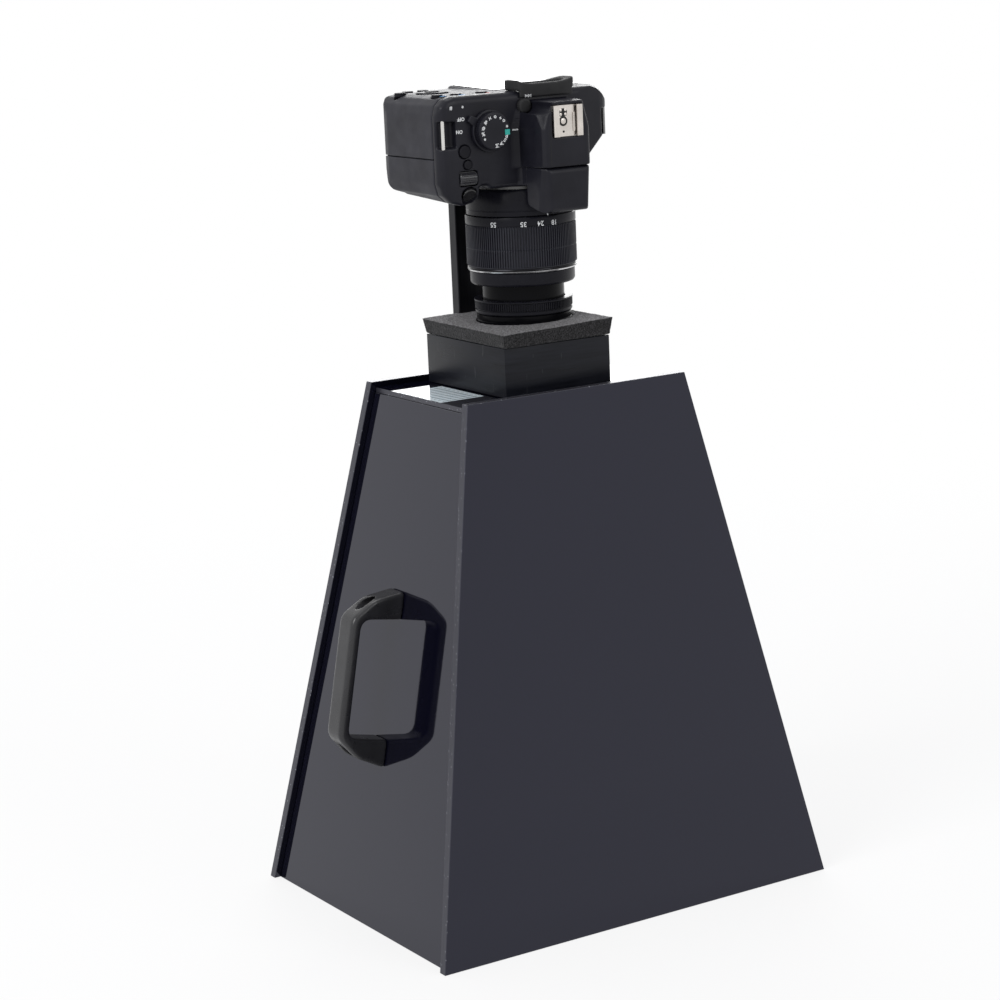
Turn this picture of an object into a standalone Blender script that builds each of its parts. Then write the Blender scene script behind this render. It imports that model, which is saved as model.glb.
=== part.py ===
"""Gel documentation hood: a tapered acrylic box with a collar, a foam light seal and a camera
on a bracket that looks down through them. Metres, +Z up, origin under the middle of the base."""
import math

import bmesh
import bpy
from mathutils import Matrix, Vector

# Hood
HOOD_HEIGHT = 0.328
BASE_WIDTH = 0.288
BASE_DEPTH = 0.220
TOP_WIDTH = 0.160
TOP_DEPTH = 0.120
PANEL = 0.006
SIDE_INSET = 0.0043
TOP_PLATE = 0.003
TOP_PLATE_DROP = 0.0037
EDGE_BREAK = 0.0003

# Gap between pieces that touch, and the running gap of pieces that move
SEAT = 0.0003
RUN = 0.0003

# Handles
HANDLE_LENGTH = 0.110
HANDLE_REACH = 0.0345
HANDLE_WIDTH = 0.0172
HANDLE_BAR = 0.0070
HANDLE_LEG = 0.0172
HANDLE_LEVEL = 0.153
HANDLE_ROUNDING = 0.0024
SCREW_FROM_END = 0.0085
SCREW_SEAT = 0.011
SCREW_RADIUS = 0.0020
SCREW_HEAD_RADIUS = 0.0036
SCREW_HEAD_HEIGHT = 0.0026
NUT_RADIUS = 0.0042
NUT_HEIGHT = 0.0032

# Collar, foam and bracket
COLLAR_X = -0.0033
COLLAR_Y = 0.0019
COLLAR_WIDTH = 0.077
COLLAR_DEPTH = 0.091
COLLAR_HEIGHT = 0.0308
COLLAR_BOARD = 0.006
FOAM_WIDTH = 0.079
FOAM_DEPTH = 0.097
FOAM_THICKNESS = 0.0094
FOAM_HOLE_CLEARANCE = 0.0006
BAR_WIDTH = 0.038
BAR_THICKNESS = 0.008
BAR_ABOVE_SOCKET = 0.024
BAR_EDGE = 0.0006
CAMERA_PAD_LENGTH = 0.040
SOCKET_LEVEL = 0.026
SOCKET_RADIUS = 0.0031
SOCKET_DEPTH = 0.0065
KNOB_RADIUS = 0.0095
KNOB_HEIGHT = 0.009
KNOB_RIBS = 18
BRACKET_SCREW_RADIUS = 0.0024
BRACKET_SCREW_HEAD = 0.0046
BRACKET_SCREW_SPACING = 0.016

# Lens, from its front end to the camera: heights along the axis and radii
LENS_X = 0.0024
LENS_Y = 0.0015
FILTER_SINK = 0.0030
FILTER_HEIGHT = 0.0082
FILTER_RADIUS = 0.0296
FILTER_LIP = 0.0030
FOCUS_HEIGHT = 0.0086
FOCUS_RADIUS = 0.0305
FOCUS_KNURL_HEIGHT = 0.0050
FOCUS_KNURL_DEPTH = 0.0004
FOCUS_RIBS = 36
NECK_HEIGHT = 0.0096
NECK_RADIUS = 0.0257
TUBE_WALL = 0.0025
SKIRT_HEIGHT = 0.0084
SKIRT_RADIUS = 0.0327
TRIM_HEIGHT = 0.0024
GRIP_HEIGHT = 0.0258
GRIP_RIBS = 48
GRIP_RIB_DEPTH = 0.0006
NUMBER_BAND = 0.0058
ZOOM_RADIUS = 0.0343
ZOOM_CORE_RADIUS = 0.0330
SLEEVE_RADIUS = 0.0303
BARREL_HEIGHT = 0.0164
BARREL_RADIUS = 0.0335
MOUNT_HEIGHT = 0.0016
MOUNT_RADIUS = 0.0320
THROAT_RADIUS = 0.0262
THROAT_DEPTH = 0.017
ZOOM_RETRACT = 0.009
GLASS_THICKNESS = 0.0020
ELEMENT_THICKNESS = 0.0080

# Camera body, measured from the lens axis and from the front face
BODY_LEFT = 0.074
BODY_RIGHT = 0.057
BODY_TOP = 0.031
BODY_BASE = 0.044
BODY_DEPTH = 0.057
BODY_ROUNDING = 0.0040
BACK_ROUNDING = 0.0094
RIGHT_SIDE_FOOT = 0.024
SHOULDER_INNER = 0.040
SHOULDER_POINT = (0.0528, -0.022, 0.030)
SHOULDER_FACING = (1.0, -0.714, -0.97)
FRONT_STEP = 0.0125
BOSS_RADIUS = 0.0350
END_ROUND_TO = -0.046
END_FADE = 0.016
END_FADE_GROWTH = 1.4
END_BASE_ROUNDING = 0.017
END_BACK_ROUNDING = 0.010
GRIP_FOOT = 0.0036
COVER_SEAM = 0.022
SHELL_SEAM = 0.020
GRIP_REACH = 0.0085
GRIP_WIDTH = 0.0265
GRIP_FOOT_SHARE = 0.35
FINGER_HOLLOW = 0.0025
HOUSING_HALF = 0.0200
HOUSING_FLARE = 0.0040
HOUSING_TOP = 0.0565
HOUSING_ROOF_HALF = 0.0154
HOUSING_SHOULDER = 0.0475
HOUSING_FROM_BACK = 0.006
HOUSING_WAIST = 0.035
HOUSING_REAR_SHARE = 0.74
FLASH_SEAM = 0.0117
FLASH_BED = 0.036
BED_INSET = 0.0008
BED_FOOT = 0.0235
BED_HALF = 0.0165
BED_SINK = 0.0060
HOUSING_SINK = 0.002
NOSE_REACH = 0.0155
NOSE_TAPER = 0.78
FLASH_PIVOT = 0.003
FLASH_WINDOW_WIDTH = 0.020
FLASH_WINDOW_HEIGHT = 0.007
FLASH_WINDOW_DROP = 0.0085
FLASH_WINDOW_SINK = 0.0030
SHOE_WIDTH = 0.0208
SHOE_LENGTH = 0.0186
SHOE_FROM_REAR = 0.0024
SHOE_HEIGHT = 0.0030
SHOE_LIP = 0.0040
SHOE_WALL = 0.0008
SHOE_SINK = 0.0020

# Controls
DIAL_X = -0.0400
DIAL_Z = 0.0352
DIAL_RADIUS = 0.0112
DIAL_HEIGHT = 0.0044
DIAL_RIBS = 24
DIAL_SPINDLE = 0.0040
SPINDLE_DEPTH = 0.0030
LEVER_RADIUS = 0.0126
LEVER_HEIGHT = 0.0025
LEVER_TAB_REACH = 0.0170
LEVER_TAB_HALF = 0.0026
LEVER_ANGLE = 150.0
WHEEL_X = -0.0552
WHEEL_Z = 0.0079
WHEEL_RADIUS = 0.0041
WHEEL_WIDTH = 0.0120
WHEEL_RISE = 0.0012
WHEEL_ROOM = 0.0004
WHEEL_RIBS = 18
AXLE_RADIUS = 0.0012
AXLE_LENGTH = 0.0018
SHUTTER_X = -0.0545
SHUTTER_Z = -0.0015
SHUTTER_Y = -0.0285
SHUTTER_TILT = 38.0
SHUTTER_RADIUS = 0.0052
SHUTTER_HEIGHT = 0.0030
SHUTTER_WELL = 0.0062
BUTTON_HEIGHT = 0.0034
BUTTON_RISE = 0.0008
BUTTON_DOME = 0.0004
WELL_SPARE = 0.0013
TOP_BUTTONS = {"flash_button": (-0.0574, 0.0240, 0.0038), "iso_button": (-0.0556, 0.0161, 0.0027)}
LUG_LENGTH = 0.0178
LUG_RADIUS = 0.0011
LUG_SEAT = 0.0010
LUG_POCKET = 0.0066
LUG_POCKET_REACH = 0.0080
LEFT_LUG = (-0.0708, -0.0286, 0.0345)
RIGHT_LUG = (0.0535, -0.0165, 0.0345)
EYECUP_HALF = 0.0222
EYECUP_HEIGHT = 0.0205
EYECUP_RISE = 0.0068
EYECUP_WALL = 0.0045
EYECUP_SKIRT = 0.0040
EYECUP_TOP = 0.033
DIOPTRE_X = -0.0150
DIOPTRE_RADIUS = 0.0046
DIOPTRE_HEIGHT = 0.0040
DIOPTRE_SPINDLE = 0.0016
DIOPTRE_RIBS = 16

# Back of the body
SCREEN_LEFT = -0.020
SCREEN_RIGHT = 0.050
SCREEN_NEAR = -0.0055
SCREEN_FAR = 0.0395
SCREEN_BEZEL = 0.003
SCREEN_RAISE = 0.0018
SCREEN_GLASS = 0.0016
BACK_BUTTON_RADIUS = 0.0036
BACK_BUTTONS = {
    "live_view_button": (-0.034, -0.015),
    "zoom_out_button": (-0.052, -0.015),
    "zoom_in_button": (-0.064, -0.013),
    "playback_button": (-0.056, 0.035),
    "delete_button": (-0.066, 0.027),
    "menu_button": (-0.045, 0.035),
}
PAD_X = -0.052
PAD_Y = 0.0125
PAD_RADIUS = 0.0098
SET_RADIUS = 0.0044
BATTERY_DOOR_WIDTH = 0.026
BATTERY_DOOR_LENGTH = 0.023
BATTERY_DOOR_LEFT = -0.062
BATTERY_DOOR_FROM_SEAM = 0.003
DOOR_THICKNESS = 0.0016
TERMINAL_WIDTH = 0.0108
TERMINAL_HEIGHT = 0.034
TERMINAL_TOP = -0.008
TERMINAL_FROM_SEAM = 0.0160
RELEASE_X = 0.0385
RELEASE_Y = 0.012
RELEASE_STAND = 0.004
RELEASE_RADIUS = 0.0038
RELEASE_RISE = 0.0030
RELEASE_BOSS_WALL = 0.0018
RELEASE_BOSS_DEPTH = 0.009

ROUND_STEPS = 32
SMALL_STEPS = 12
OVERRUN = 0.03
FAR = 0.2
TRIM = 0.00003


def clear_scene():
    for item in list(bpy.data.objects):
        bpy.data.objects.remove(item, do_unlink=True)


def collection(name):
    group = bpy.data.collections.new(name)
    bpy.context.scene.collection.children.link(group)
    return group


def surface(name, colour, roughness, metallic=0.0):
    material = bpy.data.materials.new(name)
    material.use_nodes = True
    shader = material.node_tree.nodes["Principled BSDF"]
    shader.inputs["Base Color"].default_value = (*colour, 1.0)
    shader.inputs["Roughness"].default_value = roughness
    shader.inputs["Metallic"].default_value = metallic
    material.diffuse_color = (*colour, 1.0)
    return material


clear_scene()
parts = collection("gel_documentation_system")
cutters = collection("cutters")

BLACK_ACRYLIC = surface("black_acrylic", (0.045, 0.045, 0.060), 0.12)
MOULDED_NYLON = surface("moulded_nylon", (0.020, 0.020, 0.022), 0.38)
PAINTED_BOARD = surface("painted_board", (0.018, 0.019, 0.022), 0.48)
FOAM = surface("foam", (0.075, 0.068, 0.062), 0.95)
ANODISED = surface("black_anodised", (0.012, 0.012, 0.014), 0.35, 0.6)
BODY_PLASTIC = surface("body_plastic", (0.022, 0.022, 0.026), 0.42)
GLOSS_PLASTIC = surface("gloss_plastic", (0.012, 0.012, 0.014), 0.16)
RUBBER = surface("rubber", (0.016, 0.016, 0.017), 0.72)
STEEL = surface("steel", (0.62, 0.60, 0.57), 0.26, 1.0)
GLASS = surface("lens_glass", (0.05, 0.05, 0.09), 0.04)
AMBER = surface("amber_glass", (0.75, 0.28, 0.03), 0.05)


def empty(name, location=(0, 0, 0), rotation=(0, 0, 0), parent=None):
    item = bpy.data.objects.new(name, None)
    bpy.context.scene.collection.objects.link(item)
    item.location = location
    item.rotation_euler = rotation
    item.parent = parent
    return item


def add(name, mesh, material, parent=None, origin=(0, 0, 0), rotation=(0, 0, 0)):
    """Make a mesh a named sub-part, with its own origin at the point that it turns about."""
    item = bpy.data.objects.new(name, mesh)
    parts.objects.link(item)
    item.location = origin
    item.rotation_euler = rotation
    item.parent = parent
    mesh.materials.append(material)
    return item


def about(mesh, point):
    """Measure a mesh from a point, so that the object can have its origin there."""
    mesh.transform(Matrix.Translation(-Vector(point)))
    return mesh


def tool(mesh, parent=None, origin=(0, 0, 0), rotation=(0, 0, 0)):
    item = bpy.data.objects.new("cutter", mesh)
    cutters.objects.link(item)
    item.location = origin
    item.rotation_euler = rotation
    item.parent = parent
    item.hide_render = True
    item.display_type = "WIRE"
    return item


def combine(item, other, operation="DIFFERENCE"):
    step = item.modifiers.new(operation.title(), "BOOLEAN")
    step.operation = operation
    step.object = other
    step.solver = "EXACT"
    return item


def mesh_from(bm):
    mesh = bpy.data.meshes.new("mesh")
    bm.to_mesh(mesh)
    bm.free()
    return mesh


def box(low, high, rounding=0.0, steps=2):
    bm = bmesh.new()
    bmesh.ops.create_cube(bm, size=1.0)
    size = Vector(high) - Vector(low)
    middle = (Vector(high) + Vector(low)) / 2
    bmesh.ops.scale(bm, vec=size, verts=bm.verts)
    bmesh.ops.translate(bm, vec=middle, verts=bm.verts)
    if rounding:
        bmesh.ops.bevel(bm, geom=bm.edges[:], offset=rounding, segments=steps, profile=0.5,
                        affect="EDGES")
    return mesh_from(bm)


def disc(radius, low, high, steps=SMALL_STEPS, rounding=0.0):
    bm = bmesh.new()
    bmesh.ops.create_cone(bm, cap_ends=True, segments=steps, radius1=radius, radius2=radius,
                          depth=high - low)
    bmesh.ops.translate(bm, vec=(0, 0, (high + low) / 2), verts=bm.verts)
    if rounding:
        rim = [edge for edge in bm.edges if edge.verts[0].co.z > high - 1e-7
               and edge.verts[1].co.z > high - 1e-7]
        bmesh.ops.bevel(bm, geom=rim, offset=rounding, segments=1, affect="EDGES")
    return mesh_from(bm)


def rounded(corners, steps=3):
    """Outline through corners (a, b, radius), with an arc at each corner that has a radius."""
    points = []
    for index, (a, b, radius) in enumerate(corners):
        here = Vector((a, b))
        to_before = (Vector(corners[index - 1][:2]) - here).normalized()
        to_after = (Vector(corners[(index + 1) % len(corners)][:2]) - here).normalized()
        if radius == 0:
            points.append(here)
            continue
        half = to_before.angle(to_after) / 2
        centre = here + (to_before + to_after).normalized() * radius / math.sin(half)
        start = here + to_before * radius / math.tan(half) - centre
        end = here + to_after * radius / math.tan(half) - centre
        sweep = math.atan2(start.x * end.y - start.y * end.x, start.dot(end))
        for step in range(steps + 1):
            turn = Matrix.Rotation(sweep * step / steps, 2)
            points.append(centre + turn @ start)
    return points


def circle(radius, steps=ROUND_STEPS, x=0.0, y=0.0):
    angles = [math.tau * step / steps for step in range(steps)]
    return [(x + radius * math.cos(angle), y + radius * math.sin(angle)) for angle in angles]


def ribbed(radius, depth, count):
    """Round outline with straight ribs, each as wide as the groove beside it."""
    points = []
    for rib in range(count):
        for share, reach in ((0.0, 0.0), (0.12, depth), (0.5, depth), (0.62, 0.0)):
            angle = math.tau * (rib + share) / count
            distance = radius - depth + reach
            points.append((distance * math.cos(angle), distance * math.sin(angle)))
    return points


PLANES = {
    "XY": Matrix.Identity(4),
    "XZ": Matrix(((1, 0, 0, 0), (0, 0, -1, 0), (0, 1, 0, 0), (0, 0, 0, 1))),
    "YZ": Matrix(((0, 0, 1, 0), (1, 0, 0, 0), (0, 1, 0, 0), (0, 0, 0, 1))),
}


def slab(loops, low, high, plane="XY", rounding=0.0):
    """Flat outline, holes included, given a thickness across its plane."""
    curve = bpy.data.curves.new("outline", "CURVE")
    curve.dimensions = "2D"
    curve.fill_mode = "BOTH"
    curve.extrude = (high - low) / 2 - rounding
    curve.bevel_depth = rounding
    curve.bevel_resolution = 2
    curve.offset = -rounding
    for loop in loops:
        spline = curve.splines.new("POLY")
        spline.points.add(len(loop) - 1)
        for point, place in zip(spline.points, loop):
            point.co = (place[0], place[1], 0.0, 1.0)
        spline.use_cyclic_u = True
    item = bpy.data.objects.new("outline", curve)
    bpy.context.scene.collection.objects.link(item)
    graph = bpy.context.evaluated_depsgraph_get()
    mesh = bpy.data.meshes.new_from_object(item.evaluated_get(graph))
    bpy.data.objects.remove(item, do_unlink=True)
    bpy.data.curves.remove(curve)
    bm = bmesh.new()
    bm.from_mesh(mesh)
    bmesh.ops.remove_doubles(bm, verts=bm.verts, dist=1e-6)
    middle = (low + high) / 2
    if plane == "XZ":
        middle = -middle
    bmesh.ops.translate(bm, vec=(0, 0, middle), verts=bm.verts)
    bmesh.ops.transform(bm, matrix=PLANES[plane], verts=bm.verts)
    bmesh.ops.recalc_face_normals(bm, faces=bm.faces)
    bpy.data.meshes.remove(mesh)
    return mesh_from(bm)


def turned(name, profile, material, parent, origin=(0, 0, 0), rotation=(0, 0, 0), steps=ROUND_STEPS):
    """Turn a closed profile of (radius, height) about the object's own Z axis.
    The profile runs down its outer side."""
    mesh = bpy.data.meshes.new(name)
    points = [(radius, 0.0, height) for radius, height in profile]
    edges = [(index, index + 1) for index in range(len(points) - 1)]
    on_axis = profile[0][0] == 0 and profile[-1][0] == 0
    if not on_axis:
        edges.append((len(points) - 1, 0))
    mesh.from_pydata(points, edges, [])
    item = add(name, mesh, material, parent, origin, rotation)
    screw = item.modifiers.new("Turn", "SCREW")
    screw.axis = "Z"
    screw.angle = math.tau
    screw.steps = steps
    screw.render_steps = steps
    screw.use_merge_vertices = True
    screw.merge_threshold = 1e-5
    return item


# Hood panels: a box whose eight corners follow the slope of the hood
def half_width(level):
    return (BASE_WIDTH + (TOP_WIDTH - BASE_WIDTH) * level / HOOD_HEIGHT) / 2


def half_depth(level):
    return (BASE_DEPTH + (TOP_DEPTH - BASE_DEPTH) * level / HOOD_HEIGHT) / 2


SIDE_SLOPE = math.atan2((BASE_WIDTH - TOP_WIDTH) / 2, HOOD_HEIGHT)
FRONT_SLOPE = math.atan2((BASE_DEPTH - TOP_DEPTH) / 2, HOOD_HEIGHT)
PANEL_ACROSS_Y = PANEL / math.cos(FRONT_SLOPE)
PANEL_ACROSS_X = PANEL / math.cos(SIDE_SLOPE)
PLATE_TOP = HOOD_HEIGHT - TOP_PLATE_DROP
PLATE_UNDER = PLATE_TOP - TOP_PLATE
SIDE_TOP = PLATE_UNDER - SEAT


def sloped_panel(height, reach_x, reach_y):
    """Panel from the floor to a height; reach_x and reach_y give its two faces at a level."""
    bm = bmesh.new()
    bmesh.ops.create_cube(bm, size=2.0)
    for vert in bm.verts:
        level = height if vert.co.z > 0 else 0.0
        x_faces = reach_x(level)
        y_faces = reach_y(level)
        vert.co.x = x_faces[1] if vert.co.x > 0 else x_faces[0]
        vert.co.y = y_faces[1] if vert.co.y > 0 else y_faces[0]
        vert.co.z = level
    bmesh.ops.bevel(bm, geom=bm.edges[:], offset=EDGE_BREAK, segments=1, affect="EDGES")
    return mesh_from(bm)


def full_width(level):
    return -half_width(level), half_width(level)


def between_panels(level):
    inside = half_depth(level) - PANEL_ACROSS_Y - SEAT
    return -inside, inside


def front_faces(level):
    return -half_depth(level), -half_depth(level) + PANEL_ACROSS_Y


def rear_faces(level):
    return half_depth(level) - PANEL_ACROSS_Y, half_depth(level)


def left_faces(level):
    outside = -half_width(level) + SIDE_INSET
    return outside, outside + PANEL_ACROSS_X


def right_faces(level):
    outside = half_width(level) - SIDE_INSET
    return outside - PANEL_ACROSS_X, outside


add("front_panel", sloped_panel(HOOD_HEIGHT, full_width, front_faces), BLACK_ACRYLIC)
add("rear_panel", sloped_panel(HOOD_HEIGHT, full_width, rear_faces), BLACK_ACRYLIC)
side_panels = {
    "left": add("left_side_panel", sloped_panel(SIDE_TOP, left_faces, between_panels), BLACK_ACRYLIC),
    "right": add("right_side_panel", sloped_panel(SIDE_TOP, right_faces, between_panels), BLACK_ACRYLIC),
}

# Top plate, with the light opening that the collar stands around
plate_half_x = half_width(PLATE_TOP) - SIDE_INSET
plate_half_y = half_depth(PLATE_TOP) - PANEL_ACROSS_Y - SEAT
opening_half_x = COLLAR_WIDTH / 2 - COLLAR_BOARD
opening_half_y = COLLAR_DEPTH / 2 - COLLAR_BOARD
plate_outline = rounded([(-plate_half_x, -plate_half_y, 0), (plate_half_x, -plate_half_y, 0),
                         (plate_half_x, plate_half_y, 0), (-plate_half_x, plate_half_y, 0)])
opening_outline = rounded([
    (COLLAR_X - opening_half_x, COLLAR_Y - opening_half_y, 0.002),
    (COLLAR_X + opening_half_x, COLLAR_Y - opening_half_y, 0.002),
    (COLLAR_X + opening_half_x, COLLAR_Y + opening_half_y, 0.002),
    (COLLAR_X - opening_half_x, COLLAR_Y + opening_half_y, 0.002)], 2)
add("top_plate", slab([plate_outline, opening_outline], PLATE_UNDER, PLATE_TOP), BLACK_ACRYLIC)


# Handles: a bow with a flat foot at each end, in a frame whose X runs up the side panel
def handle_mesh():
    half = HANDLE_LENGTH / 2
    reach = HANDLE_REACH
    under = reach - HANDLE_BAR
    root = -0.004
    corners = [
        (half, root, 0),
        (half, 0.002, 0.006),
        (half - 0.0055, 0.0205, 0.020),
        (half - 0.0175, reach, 0.009),
        (-half + 0.0175, reach, 0.009),
        (-half + 0.0055, 0.0205, 0.020),
        (-half, 0.002, 0.006),
        (-half, root, 0),
        (-half + HANDLE_LEG, root, 0),
        (-half + HANDLE_LEG + 0.0008, under, 0.006),
        (half - HANDLE_LEG - 0.0008, under, 0.006),
        (half - HANDLE_LEG, root, 0),
    ]
    return slab([rounded(corners)], -HANDLE_WIDTH / 2, HANDLE_WIDTH / 2, "XZ", HANDLE_ROUNDING)


def screw_profile():
    end = -PANEL - NUT_HEIGHT - 3 * SEAT - 0.001
    seat = SCREW_SEAT + SEAT
    head = seat + SCREW_HEAD_HEIGHT
    return [(0, head), (SCREW_HEAD_RADIUS * 0.6, head), (SCREW_HEAD_RADIUS, head - 0.0009),
            (SCREW_HEAD_RADIUS, seat), (SCREW_RADIUS, seat), (SCREW_RADIUS, end), (0, end)]


screw_offset = HANDLE_LENGTH / 2 - SCREW_FROM_END
foot_x = half_width(HANDLE_LEVEL) - SIDE_INSET
for side, turn in (("left", math.pi), ("right", 0.0)):
    sign = -1 if side == "left" else 1
    upright = empty(side + "_handle_side", rotation=(0, 0, turn))
    frame = empty(side + "_handle_frame", (foot_x, 0, HANDLE_LEVEL),
                  (0, -math.pi / 2 - SIDE_SLOPE, 0), upright)
    inward = empty(side + "_handle_out", rotation=(math.pi, 0, 0), parent=frame)
    handle = add(side + "_handle", handle_mesh(), MOULDED_NYLON, inward)
    foot_cut = box((-FAR, -FAR, -FAR), (FAR, FAR, SEAT))
    combine(handle, tool(foot_cut, inward))
    for end, along in (("upper", screw_offset), ("lower", -screw_offset)):
        place = (along, 0, 0)
        shaft_hole = disc(SCREW_RADIUS + SEAT, -PANEL - 0.003, SCREW_SEAT + 0.001)
        combine(handle, tool(shaft_hole.copy(), inward, place))
        combine(handle, tool(disc(SCREW_HEAD_RADIUS + 0.0006, SCREW_SEAT, FAR), inward, place))
        combine(side_panels[side], tool(shaft_hole, inward, place))
        screw = turned(side + "_" + end + "_handle_screw", screw_profile(), STEEL, inward, place,
                       steps=SMALL_STEPS)
        nut_low = -PANEL - SEAT - NUT_HEIGHT
        nut = disc(NUT_RADIUS, nut_low, -PANEL - SEAT, 6)
        combine(screw, tool(nut, inward, place), "UNION")

# Collar: four boards, the front and rear one lapping the ends of the side boards
collar_low = PLATE_TOP + SEAT
collar_high = PLATE_TOP + COLLAR_HEIGHT
collar_left = COLLAR_X - COLLAR_WIDTH / 2
collar_right = COLLAR_X + COLLAR_WIDTH / 2
collar_front = COLLAR_Y - COLLAR_DEPTH / 2
collar_rear = COLLAR_Y + COLLAR_DEPTH / 2
side_near = collar_front + COLLAR_BOARD + SEAT
side_far = collar_rear - COLLAR_BOARD - SEAT
add("collar_front_board", box((collar_left, collar_front, collar_low),
                              (collar_right, collar_front + COLLAR_BOARD, collar_high), 0.0007),
    PAINTED_BOARD)
collar_rear_board = add("collar_rear_board",
                        box((collar_left, collar_rear - COLLAR_BOARD, collar_low),
                            (collar_right, collar_rear, collar_high), 0.0007), PAINTED_BOARD)
add("collar_left_board", box((collar_left, side_near, collar_low),
                             (collar_left + COLLAR_BOARD, side_far, collar_high), 0.0007),
    PAINTED_BOARD)
add("collar_right_board", box((collar_right - COLLAR_BOARD, side_near, collar_low),
                              (collar_right, side_far, collar_high), 0.0007), PAINTED_BOARD)

# Levels of the lens and the camera, stacked on the foam
foam_low = collar_high + SEAT
foam_high = foam_low + FOAM_THICKNESS
filter_low = foam_high - FILTER_SINK
focus_low = filter_low + FILTER_HEIGHT
focus_high = focus_low + FOCUS_HEIGHT
skirt_low = focus_high + NECK_HEIGHT
trim_low = skirt_low + SKIRT_HEIGHT + RUN
grip_low = trim_low + TRIM_HEIGHT + SEAT
grip_high = grip_low + GRIP_HEIGHT
zoom_high = grip_high + NUMBER_BAND
barrel_low = zoom_high + RUN
barrel_high = barrel_low + BARREL_HEIGHT
front_level = barrel_high + SEAT + MOUNT_HEIGHT + SEAT

# Foam pad, notched round the bracket bar and bored for the lens
bar_front = collar_rear + SEAT
bar_rear = bar_front + BAR_THICKNESS
foam_left = COLLAR_X - FOAM_WIDTH / 2
foam_right = COLLAR_X + FOAM_WIDTH / 2
foam_near = COLLAR_Y - FOAM_DEPTH / 2
foam_far = COLLAR_Y + FOAM_DEPTH / 2
notch = bar_front - SEAT
bar_left = LENS_X - BAR_WIDTH / 2
bar_right = LENS_X + BAR_WIDTH / 2
foam_outline = [(foam_left, foam_near), (foam_right, foam_near), (foam_right, foam_far)]
foam_outline += [(bar_right + SEAT, foam_far), (bar_right + SEAT, notch), (bar_left - SEAT, notch)]
foam_outline += [(bar_left - SEAT, foam_far), (foam_left, foam_far)]
foam_hole = circle(FILTER_RADIUS + FOAM_HOLE_CLEARANCE, ROUND_STEPS, LENS_X, LENS_Y)
add("foam_pad", slab([foam_outline, foam_hole], foam_low, foam_high), FOAM)

# Bracket: bar behind the collar, its two screws, rubber pad and camera screw
camera = empty("camera_frame", (LENS_X, LENS_Y, front_level))
socket_level = front_level + SOCKET_LEVEL
bar = add("bracket_bar", box((bar_left, bar_front, HOOD_HEIGHT + SEAT),
                             (bar_right, bar_rear, socket_level + BAR_ABOVE_SOCKET), BAR_EDGE),
          ANODISED)
screw_middle = (collar_low + collar_high) / 2
for name, offset in (("left", -BRACKET_SCREW_SPACING / 2), ("right", BRACKET_SCREW_SPACING / 2)):
    place = (LENS_X + offset, bar_rear + SEAT, screw_middle)
    outward = (-math.pi / 2, 0, 0)
    reach = BAR_THICKNESS + COLLAR_BOARD
    bore = disc(BRACKET_SCREW_RADIUS + SEAT, -reach - 0.004, 0.004)
    combine(bar, tool(bore.copy(), None, place, outward))
    combine(collar_rear_board, tool(bore, None, place, outward))
    turned(name + "_bracket_screw", [
        (0, 0.0026), (BRACKET_SCREW_HEAD * 0.55, 0.0026), (BRACKET_SCREW_HEAD, 0.0008),
        (BRACKET_SCREW_HEAD, 0), (BRACKET_SCREW_RADIUS, 0), (BRACKET_SCREW_RADIUS, -reach),
        (0, -reach)], STEEL, None, place, outward, SMALL_STEPS)

base_y = LENS_Y + BODY_BASE
pad_near = base_y + SEAT
pad_far = bar_front - SEAT
pad = add("camera_pad", box((bar_left, pad_near, socket_level - CAMERA_PAD_LENGTH / 2),
                            (bar_right, pad_far, socket_level + CAMERA_PAD_LENGTH / 2), 0.0003, 1),
          RUBBER)
socket_place = (LENS_X, bar_rear + SEAT, socket_level)
shaft_reach = bar_rear - base_y + SOCKET_DEPTH
shaft_bore = disc(SOCKET_RADIUS + RUN, -shaft_reach - SEAT, 0.004)
combine(bar, tool(shaft_bore.copy(), None, socket_place, (-math.pi / 2, 0, 0)))
combine(pad, tool(shaft_bore.copy(), None, socket_place, (-math.pi / 2, 0, 0)))
knob = add("camera_screw_knob", slab([ribbed(KNOB_RADIUS, 0.0006, KNOB_RIBS)], 0, KNOB_HEIGHT),
           ANODISED, None, socket_place, (-math.pi / 2, 0, 0))
shaft = disc(SOCKET_RADIUS, -shaft_reach + 0.0005, KNOB_HEIGHT / 2)
combine(knob, tool(shaft, None, socket_place, (-math.pi / 2, 0, 0)), "UNION")

# Lens, all on one axis; heights are measured down from the camera's front face
lens = camera


def level(height):
    return height - front_level


bore_radius = NECK_RADIUS - TUBE_WALL
sleeve_bore = SLEEVE_RADIUS - TUBE_WALL
turned("lens_mount", [(MOUNT_RADIUS, -SEAT), (MOUNT_RADIUS, -SEAT - MOUNT_HEIGHT),
                      (THROAT_RADIUS, -SEAT - MOUNT_HEIGHT), (THROAT_RADIUS, -SEAT)], STEEL, lens)
turned("lens_barrel", [
    (BARREL_RADIUS - 0.001, level(barrel_high)), (BARREL_RADIUS, level(barrel_high) - 0.0015),
    (BARREL_RADIUS, level(barrel_low)), (SLEEVE_RADIUS, level(barrel_low)),
    (SLEEVE_RADIUS, level(skirt_low) + 0.003), (sleeve_bore, level(skirt_low) + 0.003),
    (sleeve_bore, level(barrel_high) - 0.003), (THROAT_RADIUS, level(barrel_high) - 0.003),
    (THROAT_RADIUS, level(barrel_high))], BODY_PLASTIC, lens)
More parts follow.
